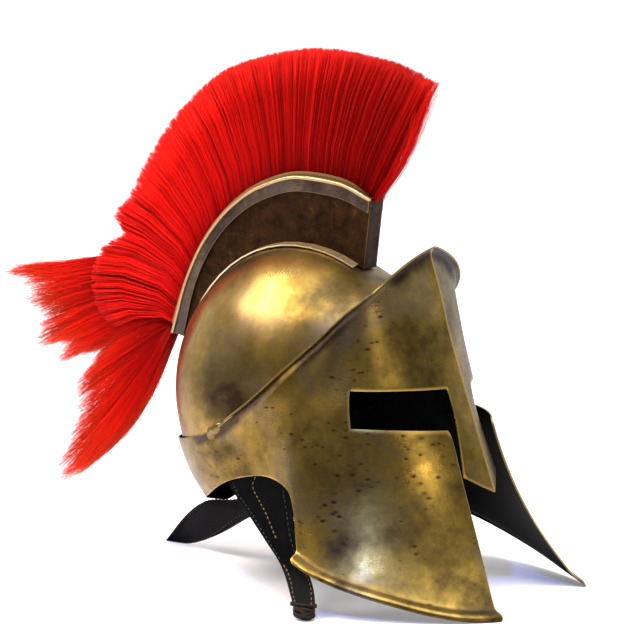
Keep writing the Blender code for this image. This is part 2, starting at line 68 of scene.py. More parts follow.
def linear(hex_colour):
    """A hex sRGB colour as linear red, green, blue and alpha."""
    shades = [int(hex_colour[place:place + 2], 16) / 255 for place in (1, 3, 5)]
    return [shade / 12.92 if shade <= 0.04045 else ((shade + 0.055) / 1.055) ** 2.4 for shade in shades] + [1]


def add_node(tree, kind, inputs=None, stops=None, **settings):
    """A node with its settings. An input is a value or another node's socket; stops fill a colour ramp."""
    made = tree.nodes.new(kind)
    for name, value in settings.items():
        setattr(made, name, value)
    for name, value in (inputs or {}).items():
        if isinstance(value, bpy.types.NodeSocket):
            tree.links.new(value, made.inputs[name])
        else:
            made.inputs[name].default_value = value
    for number, (place, colour) in enumerate(stops or ()):
        points = made.color_ramp.elements
        point = points[number] if number < 2 else points.new(place)
        point.position = place
        point.color = linear(colour)
    return made


def new_material(name):
    """A material with its node tree and its Principled shader."""
    made = bpy.data.materials.new(name)
    made.use_nodes = True
    return made, made.node_tree, made.node_tree.nodes["Principled BSDF"]


# azimuth from straight ahead of the helmet towards its right, elevation, distance, size, watts, colour
LIGHTS = {
    "key_softbox": (140, 54, 1.9, 0.88, 44, "#FFF4EA"),
    "small_softbox": (64, 43, 1.9, 0.06, 20, "#6E8CFF"),
    "front_softbox": (20, 21, 1.9, 0.36, 4, "#FFF6E6"),
    "overhead_softbox": (30, 72, 2.1, 1.60, 70, "#FFFFFF"),
}
for name, (azimuth, elevation, distance, size, watts, colour) in LIGHTS.items():
    turn = radians(azimuth)
    rise = radians(elevation)
    aim = Vector((-sin(turn) * cos(rise), -cos(turn) * cos(rise), sin(rise)))
    bpy.ops.object.light_add(type="AREA", location=LOOKED_AT + aim * distance)
    light = bpy.context.object
    light.name = name
    light.rotation_euler = aim.to_track_quat("Z", "Y").to_euler()
    light.data.size = size
    light.data.energy = watts
    light.data.color = linear(colour)[:3]

# The studio's walls: white away from the camera, dim behind it, so that the metal has something to mirror
world = bpy.data.worlds.new("studio")
world.use_nodes = True
bpy.context.scene.world = world
tree = world.node_tree
behind_camera = Vector((-sin(radians(CAMERA_HEADING)), -cos(radians(CAMERA_HEADING)), 0.25)).normalized()
direction = add_node(tree, "ShaderNodeTexCoord").outputs["Generated"]
towards_camera = add_node(
    tree, "ShaderNodeVectorMath", {0: direction, 1: behind_camera}, operation="DOT_PRODUCT",
).outputs["Value"]
walls = add_node(
    tree, "ShaderNodeMapRange",
    {"Value": towards_camera, "From Min": -0.25, "From Max": 0.8, "To Min": 0.95, "To Max": 0.17},
    interpolation_type="SMOOTHSTEP",
)
seen_directly = add_node(tree, "ShaderNodeLightPath").outputs["Is Camera Ray"]
strength = add_node(
    tree, "ShaderNodeMapRange",
    {"Value": seen_directly, "From Min": 0, "From Max": 1, "To Min": walls.outputs[0], "To Max": 1.1},
)
backdrop = tree.nodes["Background"]
backdrop.inputs["Color"].default_value = linear("#FFFFFF")
tree.links.new(strength.outputs[0], backdrop.inputs["Strength"])
bpy.context.scene.view_settings.view_transform = "Standard"

bpy.ops.mesh.primitive_plane_add(size=FLOOR_SIZE, location=(0, 0, -0.0001))
floor = bpy.context.object
floor.name = "floor"
# White background paper with a painted glow that only camera rays see, weaker near the helmet so that its shadow
# shows, pure white beyond the shadow
floor_paper, tree, shader = new_material("white_background_paper")
shader.inputs["Base Color"].default_value = linear("#E4E0E2")
shader.inputs["Roughness"].default_value = 0.9
shader.inputs["Specular IOR Level"].default_value = 0.1
shader.inputs["Emission Color"].default_value = linear("#FFFDFE")
place = add_node(tree, "ShaderNodeTexCoord").outputs["Object"]
from_middle = add_node(tree, "ShaderNodeVectorMath", {0: place}, operation="LENGTH").outputs["Value"]
painted_paper_glow = add_node(
    tree, "ShaderNodeMapRange",
    {
        "Value": from_middle, "From Min": SHADOW_REACH[0], "From Max": SHADOW_REACH[1],
        "To Min": SHADOW_GLOW, "To Max": PAPER_GLOW,
    },
    interpolation_type="SMOOTHSTEP",
).outputs[0]
seen_directly = add_node(tree, "ShaderNodeLightPath").outputs["Is Camera Ray"]
glow = add_node(tree, "ShaderNodeMath", {0: painted_paper_glow, 1: seen_directly}, operation="MULTIPLY")
tree.links.new(glow.outputs[0], shader.inputs["Emission Strength"])
floor.data.materials.append(floor_paper)


# Face plate: one sheet of brass, cut, raised over a stake, bent along the keel and turned out at its edges.
# Its outside is antiqued with liver of sulphur and rubbed back, so hollows stay olive and edges are gold.
# Its inside is painted black.
PLATE_WELD = 0.00002
SHARP_EDGE = radians(45)
SHARP_CORNER = radians(55)
SHEET_EDGE_ROUND = 0.00022
KEEL_Y = -0.15
KEEL_BEND = 0.0008
BEATEN_DEPTH = 0.0003
BEATEN_SIZE = 0.055
PLATE_CENTRE = Vector((0, -0.08, 0))
WEAR_REACH = 0.0009
HOLLOW_RADIUS = 0.008
KEEL_WEAR = 0.0016
BROW_WEAR = 0.0015
BROW_BAND = (0.006, 0.010)


def select_only(piece):
    """Makes one object the only selected and the active one."""
    bpy.ops.object.select_all(action="DESELECT")
    piece.select_set(True)
    bpy.context.view_layer.objects.active = piece


def apply_modifier(piece, name, kind, **settings):
    """Adds a modifier with its settings and applies it."""
    select_only(piece)
    made = piece.modifiers.new(name, kind)
    for setting, value in settings.items():
        setattr(made, setting, value)
    bpy.ops.object.modifier_apply(modifier=made.name)


def welded_copy(node, name):
    """A copy of a node's mesh with its corners welded and its triangles joined to quads."""
    made = bpy.data.objects.new(name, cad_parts[node].data.copy())
    bpy.context.scene.collection.objects.link(made)
    made.data.materials.clear()
    select_only(made)
    bpy.ops.mesh.customdata_custom_splitnormals_clear()
    bpy.ops.object.mode_set(mode="EDIT")
    bpy.ops.mesh.select_all(action="SELECT")
    bpy.ops.mesh.remove_doubles(threshold=PLATE_WELD)
    bpy.ops.mesh.tris_convert_to_quads(face_threshold=radians(35), shape_threshold=radians(50))
    bpy.ops.object.mode_set(mode="OBJECT")
    return made


def crease_sharp(piece, also=lambda edge: False):
    """Creases the sharp edges, those that also names, and the corners where they turn."""
    mesh = bmesh.new()
    mesh.from_mesh(piece.data)
    edge_crease = mesh.edges.layers.float.new("crease_edge")
    corner_crease = mesh.verts.layers.float.new("crease_vert")
    creased = set()
    for edge in mesh.edges:
        if len(edge.link_faces) == 2 and edge.calc_face_angle() > SHARP_EDGE or also(edge):
            edge[edge_crease] = 1.0
            creased.add(edge)
    for corner in mesh.verts:
        meeting = [edge for edge in corner.link_edges if edge in creased]
        if len(meeting) < 2:
            continue
        first, second = [edge.other_vert(corner).co - corner.co for edge in meeting[:2]]
        if len(meeting) > 2 or first.angle(-second) > SHARP_CORNER:
            corner[corner_crease] = 1.0
    mesh.to_mesh(piece.data)
    mesh.free()


# Without a seed of its own, this noise takes the time of day and the beating differs from run to run
noise.seed_set(21)


def beat(piece, depth, size):
    """Moves the sheet in and out a little, both faces together, as hand raising leaves it."""
    for corner in piece.data.vertices:
        corner.co += noise.noise_vector(corner.co / size) * depth


def note_wear(piece, reach):
    """Writes a wear attribute that is 1 on the sheet's edges and fades over the reach."""
    mesh = bmesh.new()
    mesh.from_mesh(piece.data)
    worn = [
        corner.co.copy() for corner in mesh.verts
        if any(edge.is_manifold and edge.calc_face_angle() > radians(30) for edge in corner.link_edges)
    ]
    mesh.free()
    tree = kdtree.KDTree(len(worn))
    for number, place in enumerate(worn):
        tree.insert(place, number)
    tree.balance()
    wear = piece.data.attributes.new("wear", "FLOAT", "POINT")
    wear.data.foreach_set("value", [exp(-tree.find(corner.co)[2] / reach) for corner in piece.data.vertices])


def note_hollows(piece, radius):
    """Writes a hollow attribute that is 1 where the outside bends inwards as tightly as the radius."""
    mesh = bmesh.new()
    mesh.from_mesh(piece.data)
    values = []
    for corner in mesh.verts:
        ways = [edge.other_vert(corner).co - corner.co for edge in corner.link_edges]
        bend = sum(corner.normal.dot(way) / max(way.length_squared, 1e-9) for way in ways) / len(ways)
        values.append(min(max(bend * 2 * radius, 0.0), 1.0))
    mesh.free()
    hollow_and_painted_shade = piece.data.attributes.new("hollow_and_painted_shade", "FLOAT", "POINT")
    hollow_and_painted_shade.data.foreach_set("value", values)


def stain_and_painted_light(piece, table):
    """Writes how much darker or brighter each place is: partly the bath's stain, partly painted shade and painted
    highlight. A row is x, y, z, radius, change.
    """
    spots = np.array(table)
    places = np.array([corner.co for corner in piece.data.vertices])
    places[:, 0] = np.abs(places[:, 0])
    away = np.linalg.norm(places[:, None] - spots[None, :, :3], axis=2) / spots[:, 3]
    change = (spots[:, 4] * np.exp(-away ** 2)).sum(axis=1)
    written = piece.data.attributes.new("stain_and_painted_light", "FLOAT", "POINT")
    written.data.foreach_set("value", change.astype(np.float32))


def is_brow_line(place):
    """Whether a point on the face plate's edge belongs to the brow and not to an eye opening."""
    return place.z > 0.12 and (place.z > 0.19 or place.y > -0.085)


def finish_brow_and_keel(piece):
    """Paints shade on the brow's flange and the band below it, as the flange's shadow, and rubs its edge and the keel
    bright.
    """
    mesh = bmesh.new()
    mesh.from_mesh(piece.data)
    brow = [
        corner.co.copy() for corner in mesh.verts
        if is_brow_line(corner.co) and any(
            edge.is_manifold and edge.calc_face_angle() > radians(30) for edge in corner.link_edges
        )
    ]
    mesh.free()
    tree = kdtree.KDTree(len(brow))
    for number, place in enumerate(brow):
        tree.insert(place, number)
    tree.balance()
    wear = piece.data.attributes["wear"].data
    hollow_and_painted_shade = piece.data.attributes["hollow_and_painted_shade"].data
    narrow, wide = BROW_BAND
    for number, corner in enumerate(piece.data.vertices):
        away = tree.find(corner.co)[2]
        # Painted shade: within the band's reach of the brow's edge the sheet darkens as if in the flange's shadow
        dark = min(max((wide - away) / (wide - narrow), 0.0), 1.0)
        hollow_and_painted_shade[number].value = max(hollow_and_painted_shade[number].value, 0.85 * dark)
        rubbed = exp(-away / BROW_WEAR)
        if corner.co.y < KEEL_Y:
            rubbed = max(rubbed, exp(-abs(corner.co.x) / KEEL_WEAR))
        wear[number].value = max(wear[number].value, rubbed)


def sharpen(piece, chosen):
    """Marks the edges that chosen picks as sharp, so the shading breaks there."""
    for edge in piece.data.edges:
        first, second = [piece.data.vertices[end].co for end in edge.vertices]
        if chosen(first, second):
            edge.use_edge_sharp = True


def paint_inside(piece, centre):
    """Gives the faces that look towards the middle the piece's second material."""
    for face in piece.data.polygons:
        away = face.center - centre
        away.z = 0
        if face.normal.dot(away.normalized()) < -0.35:
            face.material_index = 1


def antiqued_brass(name, tones, cloud_size, pit_share, shine, edge_gold, bloom="#5F5C58"):
    """Brass darkened in a bath and rubbed back: cloudy olive and gold, grey bloom, dark pits, bright worn edges, and
    the painted shade and highlights written on the piece.
    """
    made, tree, shader = new_material(name)
    place = add_node(tree, "ShaderNodeTexCoord").outputs["Object"]
    clouds = add_node(
        tree, "ShaderNodeTexNoise",
        {"Vector": place, "Scale": 1 / cloud_size, "Detail": 5, "Roughness": 0.55, "Distortion": 0.3},
    ).outputs[0]
    mottle = add_node(
        tree, "ShaderNodeTexNoise", {"Vector": place, "Scale": 6 / cloud_size, "Detail": 5, "Roughness": 0.62},
    ).outputs[0]
    large = add_node(tree, "ShaderNodeMath", {0: clouds, 1: 0.7}, operation="MULTIPLY").outputs[0]
    mixed = add_node(tree, "ShaderNodeMath", {0: mottle, 1: 0.3, 2: large}, operation="MULTIPLY_ADD").outputs[0]
    # The placed change is partly the bath's stain, partly painted shade and painted highlight
    placed = add_node(tree, "ShaderNodeAttribute", attribute_name="stain_and_painted_light").outputs["Fac"]
    stain_and_painted_light = add_node(tree, "ShaderNodeMath", {0: mixed, 1: placed}, operation="ADD").outputs[0]
    tone = add_node(tree, "ShaderNodeValToRGB", {"Fac": stain_and_painted_light}, stops=tones).outputs[0]
    # Level brush marks under 1 mm apart from the rubbing, and upright smudges 12 mm apart
    level = add_node(tree, "ShaderNodeMapping", {"Vector": place, "Scale": (420, 420, 1500)}).outputs[0]
    grain = add_node(
        tree, "ShaderNodeTexNoise", {"Vector": level, "Scale": 1, "Detail": 4, "Roughness": 0.75},
    ).outputs[0]
    tall = add_node(tree, "ShaderNodeMapping", {"Vector": place, "Scale": (80, 80, 28)}).outputs[0]
    smudges = add_node(tree, "ShaderNodeTexNoise", {"Vector": tall, "Scale": 1, "Detail": 4}).outputs[0]
    both = add_node(tree, "ShaderNodeMath", {0: smudges, 1: grain}, operation="ADD").outputs[0]
    rubbed = add_node(
        tree, "ShaderNodeMapRange",
        {"Value": both, "From Min": 0.7, "From Max": 1.3, "To Min": 0.80, "To Max": 1.16},
    ).outputs[0]
    shade = add_node(tree, "ShaderNodeCombineColor", {0: rubbed, 1: rubbed, 2: rubbed}).outputs[0]
    coloured = add_node(
        tree, "ShaderNodeMixRGB", {"Fac": 1.0, "Color1": tone, "Color2": shade}, blend_type="MULTIPLY",
    ).outputs[0]
    # The bath leaves a thin grey bloom in some places, and none on the darkest stains
    thin = add_node(tree, "ShaderNodeTexNoise", {"Vector": place, "Scale": 17, "Detail": 3}).outputs[0]
    bloom_share = add_node(
        tree, "ShaderNodeMapRange",
        {"Value": placed, "From Min": -0.20, "From Max": -0.05, "To Min": 0.0, "To Max": 0.38},
    ).outputs[0]
    bloomed = add_node(
        tree, "ShaderNodeMapRange",
        {"Value": thin, "From Min": 0.50, "From Max": 0.66, "To Min": 0.0, "To Max": bloom_share},
        interpolation_type="SMOOTHSTEP",
    ).outputs[0]
    greyed = add_node(
        tree, "ShaderNodeMixRGB", {"Fac": bloomed, "Color1": coloured, "Color2": linear(bloom)},
    ).outputs[0]
    # Pits 1 to 2 mm across, wider than they are tall, thick in some places and absent in others
    flat = add_node(tree, "ShaderNodeMapping", {"Vector": place, "Scale": (104, 104, 210)}).outputs[0]
    cells = add_node(tree, "ShaderNodeTexVoronoi", {"Vector": flat, "Scale": 1}).outputs["Distance"]
    patches = add_node(tree, "ShaderNodeTexNoise", {"Vector": place, "Scale": 24, "Detail": 2}).outputs[0]
    wide = add_node(
        tree, "ShaderNodeMapRange",
        {"Value": patches, "From Min": 0.45, "From Max": 0.62, "To Min": 0.02, "To Max": pit_share},
    ).outputs[0]
    depth = add_node(
        tree, "ShaderNodeMapRange",
        {"Value": cells, "From Min": wide, "From Max": 0.0, "To Min": 0.0, "To Max": 1.0},
        interpolation_type="SMOOTHSTEP",
    ).outputs[0]
    stained = add_node(
        tree, "ShaderNodeMixRGB", {"Fac": depth, "Color1": greyed, "Color2": linear("#2B1408")},
    ).outputs[0]
    # Dark stays in the inner bends as patina, and on the brow's flange as painted shade; the edges are rubbed bright
    hollow_and_painted_shade = add_node(tree, "ShaderNodeAttribute", attribute_name="hollow_and_painted_shade").outputs["Fac"]
    bent = add_node(
        tree, "ShaderNodeMixRGB", {"Fac": hollow_and_painted_shade, "Color1": stained, "Color2": linear("#2E2520")},
    ).outputs[0]
    wear = add_node(tree, "ShaderNodeAttribute", attribute_name="wear").outputs["Fac"]
    worn = add_node(
        tree, "ShaderNodeMapRange", {"Value": wear, "From Min": 0.45, "From Max": 0.95, "To Min": 0.0, "To Max": 1.0},
    ).outputs[0]
    gold = add_node(
        tree, "ShaderNodeMixRGB", {"Fac": worn, "Color1": bent, "Color2": linear(edge_gold)},
    ).outputs[0]
    tree.links.new(gold, shader.inputs["Base Color"])
    shader.inputs["Metallic"].default_value = 1.0
    rough = add_node(
        tree, "ShaderNodeMapRange",
        {"Value": stain_and_painted_light, "From Min": 0.30, "From Max": 0.62, "To Min": shine + 0.16, "To Max": shine},
    ).outputs[0]
    tree.links.new(rough, shader.inputs["Roughness"])
    sunk = add_node(tree, "ShaderNodeMath", {0: grain, 1: depth}, operation="SUBTRACT").outputs[0]
    bump = add_node(tree, "ShaderNodeBump", {"Strength": 0.14, "Distance": 0.0006, "Height": sunk})
    tree.links.new(bump.outputs[0], shader.inputs["Normal"])
    return made


def black_paint(name, dust_size):
    """Black brushing paint on the inside of the metal, dusty and rubbed grey in patches."""
    made, tree, shader = new_material(name)
    place = add_node(tree, "ShaderNodeTexCoord").outputs["Object"]
    dust = add_node(
        tree, "ShaderNodeTexNoise", {"Vector": place, "Scale": 1 / dust_size, "Detail": 6, "Roughness": 0.65},
    ).outputs[0]
    tone = add_node(
        tree, "ShaderNodeValToRGB", {"Fac": dust},
        stops=((0.40, "#020202"), (0.55, "#050404"), (0.75, "#151210")),
    ).outputs[0]
    tree.links.new(tone, shader.inputs["Base Color"])
    shader.inputs["Roughness"].default_value = 0.55
    shader.inputs["Specular IOR Level"].default_value = 0.03
    bump = add_node(tree, "ShaderNodeBump", {"Strength": 0.3, "Distance": 0.0008, "Height": dust})
    tree.links.new(bump.outputs[0], shader.inputs["Normal"])
    return made


# x either side, y, z, radius, change: darker beside the eyes, on the brow and in spots on the cheeks, gold on the
# cheeks' fronts and the temples; partly the bath's stain, partly painted shade and painted highlight
PLATE_STAINS_AND_PAINTED_LIGHT = (
    (0.0905, -0.1240, 0.1780, 0.022, 0.09), (0.0947, -0.1222, 0.1500, 0.018, -0.08),
    (0.1150, -0.1540, 0.0540, 0.014, -0.20), (0.0908, -0.2086, 0.0366, 0.030, 0.06),
    (0.1106, -0.1750, 0.0425, 0.010, 0.12), (0.1316, -0.1629, 0.0274, 0.007, -0.24),
    (0.1260, -0.1760, 0.0240, 0.006, -0.14), (0.0733, -0.1449, 0.2314, 0.006, -0.14),
    (0.0446, -0.1634, 0.2576, 0.011, -0.30), (0.0388, -0.1610, 0.2570, 0.010, -0.30),
    (0.0223, -0.1656, 0.2657, 0.011, -0.30), (0.0080, -0.1670, 0.2700, 0.009, -0.24),
    (0.0725, -0.2417, 0.0217, 0.025, -0.07), (0.0560, -0.1950, 0.1170, 0.020, 0.11),
    (0.0740, -0.1750, 0.1220, 0.010, -0.10), (0.0800, -0.1848, 0.0861, 0.020, 0.03),
    (0.0971, -0.0874, 0.1574, 0.020, 0.08), (0.0434, -0.1674, 0.2113, 0.018, -0.06),
    (0.0087, -0.1651, 0.2526, 0.024, -0.04), (0.0949, -0.0374, 0.1150, 0.008, -0.20),
    (0.0890, -0.0250, 0.1060, 0.007, -0.14), (0.0919, -0.0514, 0.0985, 0.009, -0.10),
)
face_plate = welded_copy("face_plate", "face_plate_shell")
crease_sharp(
    face_plate,
    lambda edge: all(abs(corner.co.x) < PLATE_WELD and corner.co.y < KEEL_Y for corner in edge.verts),
)
apply_modifier(face_plate, "smooth", "SUBSURF", levels=2, render_levels=2)
beat(face_plate, BEATEN_DEPTH, BEATEN_SIZE)
paint_inside(face_plate, PLATE_CENTRE)
apply_modifier(
    face_plate, "soft edges", "BEVEL",
    width=SHEET_EDGE_ROUND, segments=2, limit_method="ANGLE", angle_limit=radians(50), use_clamp_overlap=True,
)
note_wear(face_plate, WEAR_REACH)
note_hollows(face_plate, HOLLOW_RADIUS)
finish_brow_and_keel(face_plate)
stain_and_painted_light(face_plate, PLATE_STAINS_AND_PAINTED_LIGHT)
sharpen(face_plate, lambda first, second: max(abs(first.x), abs(second.x)) < KEEL_BEND and first.y < KEEL_Y)
face_plate.data.materials.append(antiqued_brass(
    "antiqued_sheet_brass",
    (
        (0.26, "#2A2118"), (0.38, "#4E3F1D"), (0.45, "#655226"), (0.50, "#75602B"), (0.56, "#876D30"),
        (0.66, "#A6863C"),
    ),
    cloud_size=0.060, pit_share=0.42, shine=0.25, edge_gold="#B89A50",
))
face_plate.data.materials.append(black_paint("black_inside_paint", 0.03))
bpy.ops.object.shade_smooth_by_angle(angle=radians(40))
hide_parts("face_plate")
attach(face_plate, "root")


# Brow fillets: where the brow's flange dies into the neck guard, a lump of brazing brass fills the corner.
# The brazing was left as it ran.
# x to the side, y, z, half thickness, half length along the flange, half height, lean
FILLET_LUMPS = (
    (0.0950, -0.0262, 0.1292, 0.0034, 0.0085, 0.0042, 38),
    (0.0935, -0.0208, 0.1252, 0.0028, 0.0046, 0.0054, 12),
)
FILLET_ROUGHNESS = 0.0012


def brazed_lump(x, y, z, thick, long, tall, lean, side):
    """One lump of run brazing metal, flattened against the sheet and uneven."""
    bpy.ops.object.select_all(action="DESELECT")
    bpy.ops.mesh.primitive_ico_sphere_add(subdivisions=3, radius=1.0)
    made = bpy.context.object
    bpy.ops.object.mode_set(mode="EDIT")
    bpy.ops.mesh.select_all(action="SELECT")
    bpy.ops.transform.resize(value=(thick, long, tall))
    bpy.ops.object.mode_set(mode="OBJECT")
    made.rotation_euler = (radians(-lean), 0, 0)
    made.location = (side * x, y, z)
    bpy.ops.object.transform_apply(location=True, rotation=True, scale=True)
    beat(made, FILLET_ROUGHNESS, 0.006)
    return made


for side, name in ((-1, "brow_fillet_right"), (1, "brow_fillet_left")):
    lumps = [brazed_lump(*row, side) for row in FILLET_LUMPS]
    bpy.ops.object.select_all(action="DESELECT")
    for lump in lumps:
        lump.select_set(True)
    bpy.context.view_layer.objects.active = lumps[0]
    bpy.ops.object.join()
    fillet = bpy.context.object
    fillet.name = name
    apply_modifier(fillet, "one lump", "REMESH", mode="VOXEL", voxel_size=0.0006)
    apply_modifier(fillet, "smooth", "SMOOTH", factor=0.5, iterations=6)
    fillet.data.materials.append(bpy.data.materials["antiqued_sheet_brass"])
    bpy.ops.object.shade_smooth()
    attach(fillet, "root")


# Skull: the dome, spun or raised from one sheet of the same brass, painted brighter over the crown as a painted
# highlight.
# It slips inside the face plate and is soldered behind the brow.
# x either side, y, z, radius, change: the dome is darker and duller towards its rim and brighter on its crown; the
# colour change is painted shade and a painted highlight
DOME_STAINS_AND_PAINTED_LIGHT = (
    (0.0935, -0.0200, 0.1500, 0.026, -0.20), (0.0956, -0.0500, 0.1480, 0.022, -0.20),
    (0.0869, -0.0438, 0.2000, 0.013, -0.05), (0.0912, -0.0560, 0.1800, 0.014, -0.05),
    (0.0561, -0.1074, 0.2323, 0.026, -0.17), (0.0450, -0.0660, 0.2560, 0.024, 0.16),
    (0.0800, -0.0950, 0.2050, 0.012, -0.06),
)
skull = welded_copy("skull", "skull_dome")
crease_sharp(skull)
apply_modifier(skull, "smooth", "SUBSURF", levels=2, render_levels=2)
beat(skull, BEATEN_DEPTH * 0.6, BEATEN_SIZE * 1.4)
for face in skull.data.polygons:
    if face.normal.dot(face.center - Vector((0, -0.047, 0.15))) < 0:
        face.material_index = 1
note_wear(skull, WEAR_REACH)
stain_and_painted_light(skull, DOME_STAINS_AND_PAINTED_LIGHT)
skull.data.materials.append(antiqued_brass(
    "polished_antique_brass",
    (
        (0.26, "#33261A"), (0.38, "#5A4A26"), (0.45, "#745E2D"), (0.51, "#8A7036"), (0.57, "#9E8240"),
        (0.66, "#B59854"),
    ),
    cloud_size=0.090, pit_share=0.12, shine=0.26, edge_gold="#BFA468", bloom="#62584E",
))
skull.data.materials.append(bpy.data.materials["black_inside_paint"])
select_only(skull)
bpy.ops.object.shade_smooth_by_angle(angle=radians(40))
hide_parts("skull")
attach(skull, "root")

# Crest box: a tall box of thin sheet, cut to the dome's curve and soldered to it by a turned-out foot.
# It is the same brass left long in the bath, so it is nearly black-brown with a few gold specks.
BOX_HALF_WIDTH = 0.0098
FOOT_START = 0.0101


def ring_flat_faces(piece, widths, least_area=0.00006):
    """Joins each flat side to one face and rings it with narrow faces, so that wear stays near its edges."""
    mesh = bmesh.new()
    mesh.from_mesh(piece.data)
    bmesh.ops.dissolve_limit(mesh, angle_limit=radians(1.5), verts=mesh.verts, edges=mesh.edges)
    for width in widths:
        wide = [face for face in mesh.faces if face.calc_area() > least_area]
        bmesh.ops.inset_individual(mesh, faces=wide, thickness=width, use_even_offset=False)
    mesh.to_mesh(piece.data)
    mesh.free()


def finish_piece(piece, node, smooth_angle=40):
    """Shades a finished piece, and lets it stand for its node."""
    select_only(piece)
    bpy.ops.object.shade_smooth_by_angle(angle=radians(smooth_angle))
    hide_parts(node)
    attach(piece, "root")


crest_box = welded_copy("crest_box", "crest_sheet_box")
ring_flat_faces(crest_box, (0.0009, 0.0016))
apply_modifier(
    crest_box, "soft edges", "BEVEL",
    width=SHEET_EDGE_ROUND, segments=2, limit_method="ANGLE", angle_limit=radians(50), use_clamp_overlap=True,
)
for face in crest_box.data.polygons:
    if abs(face.center.x) > FOOT_START:
        face.material_index = 1
note_wear(crest_box, 0.0005)
crest_box.data.materials.append(antiqued_brass(
    "oxidised_sheet_brass",
    ((0.38, "#22140B"), (0.50, "#352213"), (0.60, "#402A16"), (0.70, "#6A4E22")),
    cloud_size=0.012, pit_share=0.16, shine=0.44, edge_gold="#8A6C38", bloom="#3A2615",
))
crest_box.data.materials.append(antiqued_brass(
    "tinned_foot_brass",
    ((0.38, "#A08A62"), (0.50, "#C4AC7E"), (0.62, "#DCC596")),
    cloud_size=0.02, pit_share=0.06, shine=0.36, edge_gold="#E8D4A8", bloom="#A89878",
))
finish_piece(crest_box, "crest_box")


# Crest bands: a flat strip of paler brass on each side of the box's top edge, under a half-round moulding.
# The strip is rubbed to a dull grey-brown. The moulding is painted paler all along: rubbed brass, and a painted
# highlight on its round top.
SKULL_Y = -0.047
SKULL_Z = 0.150
SKULL_BACK = 0.108
SKULL_FRONT = 0.120
SKULL_RISE = 0.120
# foot_angle (0 at the crown, front negative), top_y, top_z
CREST_ROWS = (
    (-31.7, -0.1167, 0.3094), (-18.0, -0.0870, 0.3212), (0.0, -0.0490, 0.3250),
    (18.0, -0.0130, 0.3158), (34.0, 0.0185, 0.2960), (48.0, 0.0460, 0.2640),
    (60.0, 0.0625, 0.2308), (72.5, 0.0754, 0.1909),
)
CREST_FRONT = -31.7
CREST_REAR = 72.5
BAND_OUTSIDE = 0.0115
MOULDING_RADIUS = 0.0017
MOULDING_DROP = 0.0018


def slope_at(table, row, value):
    """Slope of a table's value at one of its rows, held so that the curve never overshoots."""
    if row in (0, len(table) - 1):
        near = table[1] if row == 0 else table[-2]
        return (near[value] - table[row][value]) / (near[0] - table[row][0])
    before, here, after = table[row - 1], table[row], table[row + 1]
    rise = (here[value] - before[value]) / (here[0] - before[0])
    next_rise = (after[value] - here[value]) / (after[0] - here[0])
    if rise * next_rise <= 0:
        return 0.0
    return 2 * rise * next_rise / (rise + next_rise)


def smooth(table, place, value):
    """A value read from a table by a smooth curve through its rows. The first column is the place."""
    place = min(max(place, table[0][0]), table[-1][0])
    row = 0
    while row < len(table) - 2 and table[row + 1][0] < place:
        row += 1
    start, end = table[row], table[row + 1]
    span = end[0] - start[0]
    t = (place - start[0]) / span
    pull_start = slope_at(table, row, value) * span
    pull_end = slope_at(table, row + 1, value) * span
    return (
        start[value] * (1 + 2 * t) * (1 - t) ** 2 + pull_start * t * (1 - t) ** 2
        + end[value] * t * t * (3 - 2 * t) - pull_end * t * t * (1 - t)
    )


def crest_foot(angle):
    """Point of the dome's middle line at this angle from the crown."""
    depth = SKULL_BACK if angle > 0 else SKULL_FRONT
    return Vector((0, SKULL_Y + depth * sin(radians(angle)), SKULL_Z + SKULL_RISE * cos(radians(angle))))


def above_top(angle, lift):
    """A point this far above the box's top edge, on the line from the foot."""
    top = Vector((0, smooth(CREST_ROWS, angle, 1), smooth(CREST_ROWS, angle, 2)))
    return top + (top - crest_foot(angle)).normalized() * lift


def rod(name, points, radius, sides=10, tips=1.0, closed=False):
    """A round rod along a path, with closed ends. Tips is the end radius as a share of the middle's."""
    line = bpy.data.curves.new(name, "CURVE")
    line.dimensions = "3D"
    line.bevel_depth = radius
    line.bevel_resolution = sides // 2 - 1
    line.use_fill_caps = not closed
    spline = line.splines.new("POLY")
    spline.points.add(len(points) - 1)
    spline.use_cyclic_u = closed
    for number, point in enumerate(points):
        end = number in (0, len(points) - 1) and not closed
        spline.points[number].co = (*point, 1)
        spline.points[number].radius = tips if end else 1.0
    made = bpy.data.objects.new(name, line)
    bpy.context.scene.collection.objects.link(made)
    select_only(made)
    bpy.ops.object.convert(target="MESH")
    return bpy.context.object


pale_brass = antiqued_brass(
    "dull_rubbed_brass",
    ((0.38, "#41352B"), (0.48, "#52443A"), (0.56, "#5F4F40"), (0.64, "#75624A")),
    cloud_size=0.02, pit_share=0.10, shine=0.38, edge_gold="#8E7C5E",
)
# Paler tones than the strip's: a painted highlight along the moulding's round top
moulding_brass = antiqued_brass(
    "painted_highlight_moulding_brass",
    ((0.38, "#765A3A"), (0.50, "#967650"), (0.62, "#B29268")),
    cloud_size=0.03, pit_share=0.06, shine=0.38, edge_gold="#C0A278", bloom="#7C6A54",
)
for side, node in ((-1, "crest_band_right"), (1, "crest_band_left")):
    band = welded_copy(node, node + "_strip")
    crease_sharp(band)
    apply_modifier(band, "smooth", "SUBSURF", levels=1, render_levels=1)
    ring_flat_faces(band, (0.0008,))
    note_wear(band, 0.0004)
    band.data.materials.append(pale_brass)
    finish_piece(band, node)
    line = []
    for step in range(61):
        angle = CREST_FRONT + (CREST_REAR - CREST_FRONT) * step / 60
        line.append(above_top(angle, -MOULDING_DROP) + Vector((side * BAND_OUTSIDE, 0, 0)))
    moulding = rod(node + "_moulding", line, MOULDING_RADIUS)
    note_wear(moulding, 0.0004)
    moulding.data.materials.append(moulding_brass)
    bpy.ops.object.shade_smooth_by_angle(angle=radians(50))
    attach(moulding, "root")


